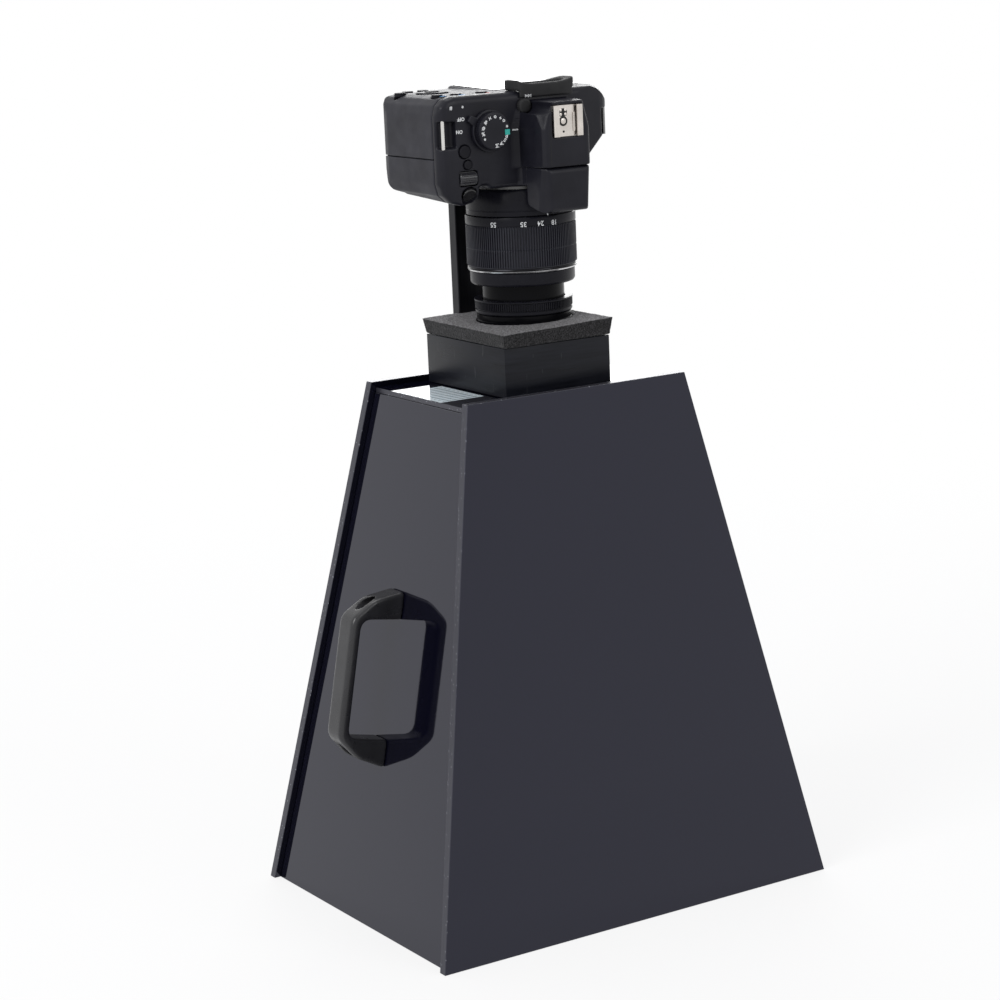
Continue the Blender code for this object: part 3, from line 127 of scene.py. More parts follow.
bpy.ops.object.select_all(action="DESELECT")
bpy.ops.mesh.primitive_plane_add(size=FLOOR_SIZE, location=(0, 0, -FLOOR_DROP))
floor = bpy.context.active_object
floor.name = "studio_floor"
paper, tree, shader = new_finish("studio_paper")
shader.inputs["Base Color"].default_value = (0.86, 0.86, 0.87, 1.0)
shader.inputs["Roughness"].default_value = 0.9
shader.inputs["Specular IOR Level"].default_value = 0.1
distance = tree.nodes.new("ShaderNodeVectorMath")
distance.operation = "LENGTH"
tree.links.new(tree.nodes.new("ShaderNodeTexCoord").outputs["Object"], distance.inputs[0])
rise = tree.nodes.new("ShaderNodeMapRange")
rise.interpolation_type = "SMOOTHSTEP"
rise.inputs["From Min"].default_value = FLOOR_SHADE_TO
rise.inputs["From Max"].default_value = FLOOR_WHITE_FROM
rise.inputs["To Min"].default_value = FLOOR_GLOW
rise.inputs["To Max"].default_value = 1.0
tree.links.new(distance.outputs["Value"], rise.inputs["Value"])
white_share = value(tree, "MULTIPLY", lit_to_viewer(tree), rise.outputs["Result"])
glow = glowing(tree, "ShaderNodeEmission", WHITE, 1.0)
tree.links.new(either(tree, white_share, shader.outputs[0], glow),
               tree.nodes["Material Output"].inputs["Surface"])
floor.data.materials.append(paper)


def soft_light(name, place, aim, width, height, power):
    data = bpy.data.lights.new(name, "AREA")
    data.shape = "RECTANGLE"
    data.size = width
    data.size_y = height
    data.energy = power
    lamp = bpy.data.objects.new(name, data)
    bpy.context.scene.collection.objects.link(lamp)
    place = Vector(place)
    lamp.location = place
    lamp.rotation_euler = (place - Vector(aim)).to_track_quat("Z", "Y").to_euler()
    lamp.visible_camera = False


soft_light("left_light", (-2.3, -0.5, 1.9), (0, 0, 0.35), 1.5, 1.5, 44)
soft_light("front_light", (0.9, -2.5, 1.6), (0, 0, 0.40), 1.3, 1.3, 16)
soft_light("top_light", (0.2, 0.5, 2.6), (0, 0, 0.45), 1.2, 1.2, 16)
soft_light("rear_screen", (1.35, 2.15, 1.0), (0, 0, 0.35), 1.7, 1.3, 24)


# Hood: four panels and a top plate of black acrylic, saw-cut, broken at the edges and cemented.
# The faces are mirror-bright, the cut edges are satin with fine saw lines and a little white dust.
ACRYLIC_COLOUR = (0.003, 0.003, 0.008, 1.0)
ACRYLIC_SHEEN = (0.80, 0.81, 1.0, 1.0)
ACRYLIC_INDEX = 1.50
SAWN_COLOUR = (0.020, 0.020, 0.026, 1.0)
SAWN_ROUGHNESS = 0.30
DUST_COLOUR = (0.30, 0.31, 0.34, 1.0)
DUST_SCALE = 420.0
DUST_SIZE = 0.13
FACE_TURN = 0.9
NOISE_RANGE = (0.3, 0.7)


def grain(tree, scale, detail=2.0, stretch=(1.0, 1.0, 1.0)):
    """Fine noise measured on the piece, with a scale in features per metre."""
    coordinates = tree.nodes.new("ShaderNodeTexCoord")
    mapping = tree.nodes.new("ShaderNodeMapping")
    mapping.inputs["Scale"].default_value = stretch
    tree.links.new(coordinates.outputs["Object"], mapping.inputs["Vector"])
    texture = tree.nodes.new("ShaderNodeTexNoise")
    texture.inputs["Scale"].default_value = scale
    texture.inputs["Detail"].default_value = detail
    tree.links.new(mapping.outputs[0], texture.inputs["Vector"])
    return texture.outputs["Fac"]


def cells(tree, scale):
    """Distance to the nearest of many points scattered over the piece."""
    texture = tree.nodes.new("ShaderNodeTexVoronoi")
    texture.inputs["Scale"].default_value = scale
    tree.links.new(tree.nodes.new("ShaderNodeTexCoord").outputs["Object"], texture.inputs["Vector"])
    return texture.outputs["Distance"]


def along(tree, kind, axis):
    """One part, X, Y or Z, of the place on the piece (Object) or of its direction (Normal)."""
    split = tree.nodes.new("ShaderNodeSeparateXYZ")
    tree.links.new(tree.nodes.new("ShaderNodeTexCoord").outputs[kind], split.inputs[0])
    return split.outputs[axis]


def between(tree, amount, low, high):
    """Map a noise of about 0.3 to 0.7 to a low and a high value."""
    step = tree.nodes.new("ShaderNodeMapRange")
    step.inputs["From Min"].default_value, step.inputs["From Max"].default_value = NOISE_RANGE
    step.inputs["To Min"].default_value = low
    step.inputs["To Max"].default_value = high
    tree.links.new(amount, step.inputs["Value"])
    return step.outputs["Result"]


def blended(tree, amount, low_colour, high_colour, span=NOISE_RANGE):
    """Colour that passes from the low to the high one as the amount crosses the span."""
    ramp = tree.nodes.new("ShaderNodeValToRGB")
    for element, colour, position in zip(ramp.color_ramp.elements, (low_colour, high_colour), span):
        element.color = colour
        element.position = position
    tree.links.new(amount, ramp.inputs["Fac"])
    return ramp.outputs["Color"]


def mixed(tree, amount, first, second):
    """The first colour where the amount is 0, and the second where it is 1."""
    mix = tree.nodes.new("ShaderNodeMix")
    mix.data_type = "RGBA"
    for name, given in (("A", first), ("B", second)):
        if isinstance(given, tuple):
            mix.inputs[name].default_value = given
        else:
            tree.links.new(given, mix.inputs[name])
    tree.links.new(amount, mix.inputs["Factor"])
    return mix.outputs["Result"]


def relief(tree, height, strength, distance):
    bump = tree.nodes.new("ShaderNodeBump")
    bump.inputs["Strength"].default_value = strength
    bump.inputs["Distance"].default_value = distance
    tree.links.new(height, bump.inputs["Height"])
    return bump.outputs["Normal"]


def acrylic(name, face_axis):
    """Black acrylic sheet whose polished faces look along one axis."""
    material, tree, shader = new_finish(name)
    facing = value(tree, "ABSOLUTE", along(tree, "Normal", face_axis), 0.0)
    edge = value(tree, "LESS_THAN", facing, FACE_TURN)
    smudge = grain(tree, 18.0, 3.0)
    sawn = grain(tree, 900.0, 2.0, (1.0, 1.0, 0.05))
    rough = value(tree, "ADD", value(tree, "MULTIPLY", edge, SAWN_ROUGHNESS),
                  between(tree, smudge, 0.02, 0.05))
    tree.links.new(rough, shader.inputs["Roughness"])
    dusty = value(tree, "MULTIPLY", value(tree, "LESS_THAN", cells(tree, DUST_SCALE), DUST_SIZE), edge)
    colour = mixed(tree, dusty, mixed(tree, edge, ACRYLIC_COLOUR, SAWN_COLOUR), DUST_COLOUR)
    tree.links.new(colour, shader.inputs["Base Color"])
    height = value(tree, "MULTIPLY", sawn, edge)
    tree.links.new(relief(tree, height, 0.35, 0.0002), shader.inputs["Normal"])
    shader.inputs["IOR"].default_value = ACRYLIC_INDEX
    shader.inputs["Specular Tint"].default_value = ACRYLIC_SHEEN
    return material


def dress(name, material):
    """Give a node of the frame its finish."""
    data = nodes[name].data
    data.materials.clear()
    data.materials.append(material)


panel_front = acrylic("acrylic_front_and_rear", 1)
panel_side = acrylic("acrylic_side", 0)
for name in ("front_panel", "rear_panel"):
    dress(name, panel_front)
for name in ("left_side_panel", "right_side_panel"):
    dress(name, panel_side)
dress("top_plate", acrylic("acrylic_top", 2))


# Label: a pale blue self-adhesive film with a gloss, stuck on the top plate beside the collar.
# It carries ruled lines and no words.
LABEL_MIDDLE = Vector((-0.0605, 0.0020))
LABEL_SIZE = (0.031, 0.050)
LABEL_CORNER = 0.0010
LABEL_RULE_PITCH = 0.0052
LABEL_RULE_SHARE = 0.24
LABEL_RULED_WIDTH = 0.40
LABEL_INK = (0.08, 0.14, 0.20, 1.0)
LAID_ABOVE = 0.00002


def take(piece):
    bpy.ops.object.select_all(action="DESELECT")
    piece.select_set(True)
    bpy.context.view_layer.objects.active = piece


def settle(piece):
    """Put a piece's place into its mesh, so that the object sits at the origin."""
    take(piece)
    bpy.ops.object.transform_apply(location=True, rotation=True, scale=True)


def apply_modifiers(piece):
    take(piece)
    for step in list(piece.modifiers):
        bpy.ops.object.modifier_apply(modifier=step.name)


def edit_all():
    bpy.ops.object.mode_set(mode="EDIT")
    bpy.ops.mesh.select_all(action="SELECT")


def close_edit():
    """Turn all faces outwards and leave edit mode."""
    bpy.ops.mesh.select_all(action="SELECT")
    bpy.ops.mesh.normals_make_consistent(inside=False)
    bpy.ops.object.mode_set(mode="OBJECT")


def finished(piece, name, material, body):
    """Name a piece, give it its finish and fix it to the body that carries it."""
    piece.name = name
    piece.data.name = name
    piece.data.materials.clear()
    piece.data.materials.append(material)
    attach(piece, body)
    return piece


def flat_mark(name, place, x, y, width, height, material, body, slot, corner=0.0002, thickness=0.00008):
    """Thin patch with rounded corners, laid on a flat place whose Z points out of the surface."""
    bpy.ops.object.select_all(action="DESELECT")
    bpy.ops.mesh.primitive_plane_add(size=1.0)
    mark = bpy.context.active_object
    mark.scale = (width, height, 1.0)
    settle(mark)
    edit_all()
    bpy.ops.mesh.bevel(offset=corner, segments=3, affect="VERTICES")
    bpy.ops.mesh.select_all(action="SELECT")
    bpy.ops.mesh.extrude_region_move(TRANSFORM_OT_translate={"value": (0, 0, thickness)})
    close_edit()
    mark.matrix_world = place @ Matrix.Translation((x, y, LAID_ABOVE))
    settle(mark)
    return finished(mark, name, material, body)


label_paper, tree, shader = new_finish("label_film")
row = value(tree, "FRACT", value(tree, "DIVIDE", along(tree, "Object", "Y"), LABEL_RULE_PITCH), 0.0)
ruled = value(tree, "LESS_THAN", row, LABEL_RULE_SHARE)
sideways = value(tree, "ABSOLUTE", value(tree, "SUBTRACT", along(tree, "Object", "X"), LABEL_MIDDLE.x), 0.0)
inside = value(tree, "LESS_THAN", sideways, LABEL_SIZE[0] * LABEL_RULED_WIDTH)
film = blended(tree, grain(tree, 300.0), (0.80, 0.92, 0.99, 1.0), (0.86, 0.95, 1.0, 1.0))
lined = value(tree, "MULTIPLY", ruled, inside)
tree.links.new(mixed(tree, lined, film, LABEL_INK), shader.inputs["Base Color"])
tree.links.new(between(tree, grain(tree, 700.0), 0.07, 0.12), shader.inputs["Roughness"])
plate_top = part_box("top_plate")[1].z
flat_mark("plate_label", Matrix.Translation((LABEL_MIDDLE.x, LABEL_MIDDLE.y, plate_top)), 0, 0, *LABEL_SIZE,
          label_paper, "stand", "painted_board", LABEL_CORNER)


# Handles: glass-filled nylon bows, moulded with soft corners, and bolted through the side panels
# by zinc-plated machine screws. The moulding leaves a faint mottle on them.
NYLON_DARK = (0.012, 0.012, 0.014, 1.0)
NYLON_PALE = (0.022, 0.022, 0.025, 1.0)
MERGE_WITHIN = 0.00001


def remeshed(name, voxel):
    """Closed copy of a node in small even faces, with its Remesh modifier still to be applied."""
    source = nodes[name]
    piece = source.copy()
    piece.data = source.data.copy()
    piece.parent = None
    for key in list(piece.keys()):
        del piece[key]
    bpy.context.scene.collection.objects.link(piece)
    take(piece)
    edit_all()
    bpy.ops.mesh.remove_doubles(threshold=MERGE_WITHIN)
    close_edit()
    remesh = piece.modifiers.new("Remesh", "REMESH")
    remesh.mode = "VOXEL"
    remesh.voxel_size = voxel
    return piece


def softened(name, piece_name, material, body, voxel, passes):
    """Copy of a node with the soft corners of a moulding, which stands for that node."""
    piece = remeshed(name, voxel)
    smooth = piece.modifiers.new("Smooth", "SMOOTH")
    smooth.factor = 0.5
    smooth.iterations = passes
    apply_modifiers(piece)
    bpy.ops.object.shade_smooth()
    finished(piece, piece_name, material, body)
    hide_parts(name)
    return piece


def moulding(name, dark, pale, roughness, grain_scale, grain_height, specular=0.35):
    """Moulded plastic: a little colour drift, a fine spark-eroded grain and uneven sheen."""
    material, tree, shader = new_finish(name)
    tree.links.new(blended(tree, grain(tree, 60.0, 4.0), dark, pale), shader.inputs["Base Color"])
    tree.links.new(between(tree, grain(tree, 150.0, 3.0), roughness - 0.05, roughness + 0.06),
                   shader.inputs["Roughness"])
    tree.links.new(relief(tree, grain(tree, grain_scale, 2.0), 0.5, grain_height), shader.inputs["Normal"])
    shader.inputs["Specular IOR Level"].default_value = specular
    return material


nylon = moulding("glass_filled_nylon", NYLON_DARK, NYLON_PALE, 0.30, 1400.0, 0.00006, 0.45)
for side in ("left", "right"):
    softened(side + "_handle", side + "_bow_handle", nylon, "stand", 0.0007, 5)


def bright_metal(name, colour, roughness, brush=(1.0, 1.0, 1.0), scale=900.0):
    """Bright metal with the fine lines of its last tool and a few dull patches."""
    material, tree, shader = new_finish(name)
    shader.inputs["Metallic"].default_value = 1.0
    dull = tuple(part * 0.8 for part in colour[:3]) + (1.0,)
    tree.links.new(blended(tree, grain(tree, 90.0, 3.0), dull, colour), shader.inputs["Base Color"])
    tree.links.new(between(tree, grain(tree, scale, 2.0, brush), roughness - 0.06, roughness + 0.08),
                   shader.inputs["Roughness"])
    tree.links.new(relief(tree, grain(tree, scale, 1.0, brush), 0.15, 0.00005), shader.inputs["Normal"])
    return material


screw_steel = bright_metal("zinc_plated_steel", (0.72, 0.71, 0.68, 1.0), 0.24)
for name in ("left_upper_handle_screw", "left_lower_handle_screw", "right_upper_handle_screw",
             "right_lower_handle_screw", "left_bracket_screw", "right_bracket_screw"):
    dress(name, screw_steel)


# Collar: a box of four boards, butt jointed, filled and painted satin black by brush, so that no
# joint shows. The brush has left faint strokes, and handling has rubbed the paint in places.
PAINT_DARK = (0.003, 0.0035, 0.006, 1.0)
PAINT_PALE = (0.010, 0.011, 0.016, 1.0)
RUBBED_COLOUR = (0.050, 0.052, 0.056, 1.0)
BOARD = 0.006
COLLAR_EDGE = 0.0005
RUB_FROM = 0.735
COLLAR_BOARDS = ("collar_front_board", "collar_rear_board", "collar_left_board", "collar_right_board")


def brushed_paint(name):
    material, tree, shader = new_finish(name)
    strokes = value(tree, "MULTIPLY", value(tree, "ADD", grain(tree, 260.0, 4.0, (0.10, 0.10, 1.0)),
                                            grain(tree, 700.0, 2.0, (0.06, 0.06, 1.0))), 0.5)
    patches = grain(tree, 22.0, 3.0)
    scratches = value(tree, "GREATER_THAN", grain(tree, 520.0, 1.0, (1.0, 1.0, 0.12)), RUB_FROM)
    worn = value(tree, "MULTIPLY", scratches, between(tree, patches, 0.0, 0.9))
    colour = mixed(tree, worn, blended(tree, strokes, PAINT_DARK, PAINT_PALE), RUBBED_COLOUR)
    tree.links.new(colour, shader.inputs["Base Color"])
    rough = value(tree, "ADD", between(tree, strokes, 0.26, 0.38), between(tree, patches, -0.05, 0.08))
    tree.links.new(rough, shader.inputs["Roughness"])
    tree.links.new(relief(tree, strokes, 0.30, 0.00020), shader.inputs["Normal"])
    shader.inputs["Specular IOR Level"].default_value = 0.17
    return material


collar_low = Vector([min(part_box(name)[0][axis] for name in COLLAR_BOARDS) for axis in range(3)])
collar_high = Vector([max(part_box(name)[1][axis] for name in COLLAR_BOARDS) for axis in range(3)])
collar_middle = (collar_low + collar_high) / 2
bpy.ops.object.select_all(action="DESELECT")
bpy.ops.mesh.primitive_plane_add(size=1.0, location=(collar_middle.x, collar_middle.y, collar_low.z))
collar = bpy.context.active_object
collar.scale = (collar_high.x - collar_low.x, collar_high.y - collar_low.y, 1.0)
settle(collar)
edit_all()
bpy.ops.mesh.inset(thickness=BOARD)
bpy.ops.mesh.delete(type="FACE")
bpy.ops.mesh.select_all(action="SELECT")
bpy.ops.mesh.extrude_region_move(TRANSFORM_OT_translate={"value": (0, 0, collar_high.z - collar_low.z)})
close_edit()
edge_break = collar.modifiers.new("Bevel", "BEVEL")
edge_break.width = COLLAR_EDGE
edge_break.segments = 3
apply_modifiers(collar)
bpy.ops.object.shade_smooth_by_angle(angle=math.radians(35))
finished(collar, "painted_collar_box", brushed_paint("brushed_black_paint"), "stand")
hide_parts(*COLLAR_BOARDS)


# Foam seal: open-cell foam, cut by hand from sheet with slightly slanted sides, so that its
# lower edge is smaller. It rests on the collar, droops a little and grips the filter.
FOAM_CELL = 0.0016
FOAM_PORE_SCALE = 1150.0
FOAM_UNDERCUT = 0.0016
FOAM_DROOP = 0.0010
FOAM_TOP_OFFSETS = (-0.0010, 0.0000, 0.0016, 0.0014)
FOAM_FOOT_OFFSETS = (-0.0001, -0.0001, 0.0002, 0.0000)
FOAM_LEFT_REACH = 0.0012
# The next number is painted shade: the share of the foam's colour left on its upright sides.
FOAM_SIDE_PAINTED_SHADE = 0.16
FOAM_ROUGHNESS = 0.00022
FOAM_DARK = (0.010, 0.0098, 0.011, 1.0)
FOAM_PALE = (0.240, 0.234, 0.246, 1.0)
UNEVEN_SCALE = 900.0
WAVE_SCALE = 45.0
SECOND_NOISE = Vector((7, 3, 1))


def sloped(offsets, right, back):
    """Offset at a place between the near left, far left, near right and far right corner."""
    near_left, far_left, near_right, far_right = offsets
    left_side = near_left * (1 - back) + far_left * back
    right_side = near_right * (1 - back) + far_right * back
    return left_side * (1 - right) + right_side * right


foam_low, foam_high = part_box("foam_pad")
foam = remeshed("foam_pad", FOAM_CELL / 2)
apply_modifiers(foam)
foam_middle = (foam_low + foam_high) / 2
foam_half = (foam_high - foam_low) / 2
for vert in foam.data.vertices:
    share_x = (vert.co.x - foam_middle.x) / foam_half.x
    share_y = (vert.co.y - foam_middle.y) / foam_half.y
    depth = (foam_high.z - vert.co.z) / (foam_high.z - foam_low.z)
    rim = max(abs(share_x), abs(share_y)) ** 6
    right = min(1.0, max(0.0, (share_x + 1) / 2))
    back = min(1.0, max(0.0, (share_y + 1) / 2))
    vert.co.x -= math.copysign(FOAM_UNDERCUT * depth * rim * abs(share_x), share_x)
    vert.co.y -= math.copysign(FOAM_UNDERCUT * depth * rim * abs(share_y), share_y)
    uneven = noise.noise(vert.co * UNEVEN_SCALE) * FOAM_ROUGHNESS
    wave = noise.noise(vert.co * WAVE_SCALE)
    vert.co += Vector((uneven, noise.noise(vert.co * UNEVEN_SCALE + SECOND_NOISE) * FOAM_ROUGHNESS, 0))
    vert.co.z += sloped(FOAM_TOP_OFFSETS, right, back) * (1 - depth)
    vert.co.z += sloped(FOAM_FOOT_OFFSETS, right, back) * depth * rim
    vert.co.z += uneven - FOAM_DROOP * 0.35 * (wave + 0.4) * rim * (1 - depth)
    vert.co.x -= FOAM_LEFT_REACH * (1 - right) * (1 - back) * rim
take(foam)
bpy.ops.object.shade_smooth()
foam_finish, tree, shader = new_finish("open_cell_foam")
pores = cells(tree, FOAM_PORE_SCALE)
mottle = value(tree, "MULTIPLY", pores, between(tree, grain(tree, 700.0, 3.0), 0.55, 1.30))
foam_colour = blended(tree, mottle, FOAM_DARK, FOAM_PALE, (0.15, 0.75))
# Painted shade: the upright sides of the foam are painted down to 0.16 of its colour, and its top keeps the
# full colour.
painted_light_by_facing = between(tree, along(tree, "Normal", "Z"), FOAM_SIDE_PAINTED_SHADE, 1.0)
tree.links.new(mixed(tree, painted_light_by_facing, (0.0, 0.0, 0.0, 1.0), foam_colour), shader.inputs["Base Color"])
tree.links.new(between(tree, grain(tree, 800.0), 0.85, 1.0), shader.inputs["Roughness"])
tree.links.new(relief(tree, pores, 0.9, 0.0006), shader.inputs["Normal"])
shader.inputs["Specular IOR Level"].default_value = 0.15
shader.inputs["Sheen Weight"].default_value = 0.12
finished(foam, "foam_light_seal", foam_finish, "stand")
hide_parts("foam_pad")


# Bracket: an upright bar of black anodised aluminium with a rubber pad and a knurled knob,
# which carries the camera by the thread in its base.
def anodised(name, colour, roughness, brush):
    """Black anodised aluminium, which keeps the lines of the brush."""
    material, tree, shader = new_finish(name)
    pale = tuple(part * 1.8 for part in colour[:3]) + (1.0,)
    tree.links.new(blended(tree, grain(tree, 700.0, 3.0, brush), colour, pale), shader.inputs["Base Color"])
    tree.links.new(between(tree, grain(tree, 80.0, 3.0), roughness - 0.05, roughness + 0.07),
                   shader.inputs["Roughness"])
    tree.links.new(relief(tree, grain(tree, 1200.0, 2.0, brush), 0.25, 0.00005), shader.inputs["Normal"])
    shader.inputs["Metallic"].default_value = 0.5
    shader.inputs["Specular IOR Level"].default_value = 0.3
    return material


bar_finish = anodised("black_anodised_bar", (0.008, 0.008, 0.010, 1.0), 0.36, (1.0, 1.0, 0.05))
dress("bracket_bar", bar_finish)
dress("camera_screw_knob", bar_finish)
rubber = moulding("moulded_rubber", (0.010, 0.010, 0.011, 1.0), (0.019, 0.019, 0.020, 1.0), 0.62, 900.0,
                  0.00010, 0.25)
dress("camera_pad", rubber)


# Lens: turned and moulded rings on one axis. A profile gives each corner's radius and its height
# above the floor. Barrel, skirt and rings are of fine-grained black plastic, the mount of steel.
LENS_X = 0.0024
LENS_Y = 0.0015
TURN_STEPS = 128
BARREL_RADIUS = 0.0335
TRIM_LIP_HEIGHT = 0.3979
TRIM_PAINTED_SHADE_COLOUR = (0.015, 0.015, 0.017, 1.0)


def turned(name, profile, material, body, stands_for):
    """Ring or cup turned from a closed profile of (radius, height) about the lens axis."""
    bpy.ops.object.select_all(action="DESELECT")
    bpy.ops.mesh.primitive_circle_add(vertices=len(profile), radius=0.01, fill_type="NOTHING")
    piece = bpy.context.active_object
    for vert, (radius, height) in zip(piece.data.vertices, profile):
        vert.co = (radius, 0.0, height)
    lathe = piece.modifiers.new("Turn", "SCREW")
    lathe.axis = "Z"
    lathe.angle = math.tau
    lathe.steps = TURN_STEPS
    lathe.render_steps = TURN_STEPS
    lathe.use_merge_vertices = True
    lathe.merge_threshold = MERGE_WITHIN
    apply_modifiers(piece)
    piece.location = (LENS_X, LENS_Y, 0)
    settle(piece)
    edit_all()
    bpy.ops.mesh.remove_doubles(threshold=MERGE_WITHIN / 5)
    close_edit()
    bpy.ops.object.shade_smooth_by_angle(angle=math.radians(28))
    finished(piece, name, material, body)
    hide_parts(*stands_for)


lens_plastic = moulding("lens_plastic", (0.005, 0.005, 0.008, 1.0), (0.009, 0.009, 0.013, 1.0), 0.28,
                        2600.0, 0.00003, 0.12)
lens_gloss = moulding("lens_tube_gloss", (0.001, 0.001, 0.002, 1.0), (0.003, 0.003, 0.004, 1.0), 0.16,
                      1200.0, 0.00001, 0.07)
dress("lens_mount", bright_metal("turned_mount_steel", (0.10, 0.10, 0.10, 1.0), 0.34, (1.0, 1.0, 8.0)))
turned("fixed_barrel", [
    (0.0322, 0.4479), (0.0325, 0.4479), (0.0331, 0.4470), (BARREL_RADIUS, 0.4462),
    (BARREL_RADIUS, 0.4352), (0.0333, 0.4350), (0.0333, 0.4346), (BARREL_RADIUS, 0.4344),
    (BARREL_RADIUS, 0.4318), (0.0332, 0.4315), (0.0303, 0.4315), (0.0303, 0.3912),
    (0.0278, 0.3912), (0.0278, 0.4449), (0.0262, 0.4449), (0.0262, 0.4479)],
    lens_plastic, "stand", ["lens_barrel"])
turned("front_skirt", [
    (0.0325, 0.3966), (0.0327, 0.3963), (0.0327, 0.3902), (0.0324, 0.3893), (0.0318, 0.3885),
    (0.0310, 0.3882), (0.0262, 0.3882), (0.0260, 0.3884), (0.0260, 0.3907), (0.0306, 0.3907),
    (0.0306, 0.3966)], lens_plastic, "stand", ["lens_skirt"])
turned("zoom_number_ring", [
    (0.0337, 0.4312), (0.0341, 0.4310), (0.0343, 0.4306), (0.0343, 0.4259), (0.0342, 0.4257),
    (0.0330, 0.4257), (0.0330, 0.3969), (0.0306, 0.3969), (0.0306, 0.4312)],
    lens_plastic, "zoom", ["zoom_ring"])
trim_metal = bright_metal("bright_trim", (0.62, 0.62, 0.63, 1.0), 0.20, (1.0, 1.0, 10.0))
tree = trim_metal.node_tree
base = tree.nodes["Principled BSDF"].inputs["Base Color"]
# Painted shade: above the lip height the bright trim is painted near black, for the shade where it meets
# the rubber grip.
lip = value(tree, "LESS_THAN", along(tree, "Object", "Z"), TRIM_LIP_HEIGHT)
tree.links.new(mixed(tree, lip, TRIM_PAINTED_SHADE_COLOUR, base.links[0].from_socket), base)
turned("bright_trim_ring", [
    (0.0335, 0.3993), (0.0337, 0.3990), (0.0338, 0.3986), (0.0341, 0.3984), (0.0341, 0.3978),
    (0.0336, 0.3970), (0.0333, 0.3969), (0.0333, 0.3993)],
    trim_metal, "zoom", ["zoom_trim_ring"])
turned("sliding_tube", [
    (0.0255, 0.4164), (0.0257, 0.4161), (0.0257, 0.3724), (0.0255, 0.3722), (0.0232, 0.3722),
    (0.0232, 0.3812), (0.0217, 0.3812), (0.0217, 0.4164)],
    lens_gloss, "inner_tube", ["inner_barrel"])

# Zoom grip: a rubber sleeve with two rows of fine ribs and a narrow land between the rows,
# stretched over the zoom ring.
GRIP_RIBS = 132
GRIP_LOW = 0.3996
GRIP_HIGH = 0.4254
GRIP_LAND = 0.4108
GRIP_OUTER = 0.0343
GRIP_FLOOR = 0.0334
GRIP_INNER = 0.0333


def ribbed_ring(name, ribs, levels, inner, material, body, stands_for, place=None):
    """Ring with upright ribs. Each level is (height, radius of rib tops, radius of the grooves).
    It stands on the lens axis, or where place puts it; with no inner radius its ends are closed.
    One rib has four corners, each given as its share of the pitch and whether it is raised."""
    rib = ((0.00, False), (0.16, True), (0.46, True), (0.62, False))
    count = len(rib) * ribs
    rows = list(levels)
    if inner:
        rows += [(levels[-1][0], inner, inner), (levels[0][0], inner, inner)]
    bpy.ops.object.select_all(action="DESELECT")
    bpy.ops.mesh.primitive_circle_add(vertices=count, radius=0.01, fill_type="NOTHING")
    piece = bpy.context.active_object
    edit_all()
    for _ in rows[1:]:
        bpy.ops.mesh.extrude_region_move(TRANSFORM_OT_translate={"value": (0, 0, 1.0)})
    bpy.ops.object.mode_set(mode="OBJECT")
    for vert in piece.data.vertices:
        height, top, groove = rows[round(vert.co.z)]
        step = round(math.atan2(vert.co.y, vert.co.x) / math.tau * count) % count
        share, raised = rib[step % len(rib)]
        angle = math.tau * (step // len(rib) + share) / ribs
        radius = top if raised else groove
        vert.co = (radius * math.cos(angle), radius * math.sin(angle), height)
    bpy.ops.object.mode_set(mode="EDIT")
    bpy.ops.mesh.select_all(action="DESELECT")
    bpy.ops.mesh.select_non_manifold()
    if inner:
        bpy.ops.mesh.bridge_edge_loops()
    else:
        bpy.ops.mesh.edge_face_add()
    close_edit()
    piece.matrix_world = place or Matrix.Translation((LENS_X, LENS_Y, 0))
    settle(piece)
    finished(piece, name, material, body)
    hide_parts(*stands_for)


grip_rubber = moulding("zoom_grip_rubber", (0.012, 0.012, 0.018, 1.0), (0.019, 0.020, 0.028, 1.0), 0.40,
                       900.0, 0.00004, 0.25)
ribbed_ring("zoom_rubber_grip", GRIP_RIBS, [
    (GRIP_LOW, GRIP_FLOOR, GRIP_FLOOR), (GRIP_LOW + 0.0004, GRIP_FLOOR, GRIP_FLOOR),
    (GRIP_LOW + 0.0009, GRIP_OUTER, GRIP_FLOOR), (GRIP_LAND - 0.0006, GRIP_OUTER, GRIP_FLOOR),
    (GRIP_LAND, GRIP_OUTER - 0.0003, GRIP_OUTER - 0.0003), (GRIP_LAND + 0.0006, GRIP_OUTER, GRIP_FLOOR),
    (GRIP_HIGH - 0.0009, GRIP_OUTER, GRIP_FLOOR), (GRIP_HIGH - 0.0003, GRIP_OUTER - 0.0004, GRIP_FLOOR),
    (GRIP_HIGH, GRIP_FLOOR, GRIP_FLOOR)], GRIP_INNER, grip_rubber, "zoom", ["zoom_grip"])

# Focus ring with its band of fine teeth, and the filter screwed into it: a black frame with an
# amber disc of coloured glass.
FOCUS_TEETH = 132
ribbed_ring("focus_toothed_ring", FOCUS_TEETH, [
    (0.3700, 0.0299, 0.0299), (0.3706, 0.0303, 0.0303), (0.3722, 0.0303, 0.0303),
    (0.3724, 0.0297, 0.0297), (0.3727, 0.0297, 0.0297), (0.3730, 0.0305, 0.0299),
    (0.3772, 0.0305, 0.0299), (0.3774, 0.0300, 0.0300), (0.3776, 0.0300, 0.0300),
    (0.3778, 0.0308, 0.0308), (0.3784, 0.0308, 0.0308), (0.3786, 0.0305, 0.0305)],
    0.0262, lens_plastic, "focus", ["focus_ring"])
turned("filter_holder", [
    (0.0281, 0.3718), (0.0281, 0.3698), (0.0293, 0.3697), (0.0296, 0.3694), (0.0296, 0.3664),
    (0.0294, 0.3662), (0.0294, 0.3659), (0.0296, 0.3657), (0.0296, 0.3621), (0.0293, 0.3618),
    (0.0252, 0.3618), (0.0252, 0.3648), (0.0262, 0.3648), (0.0262, 0.3718)],
    lens_gloss, "focus", ["filter_frame"])


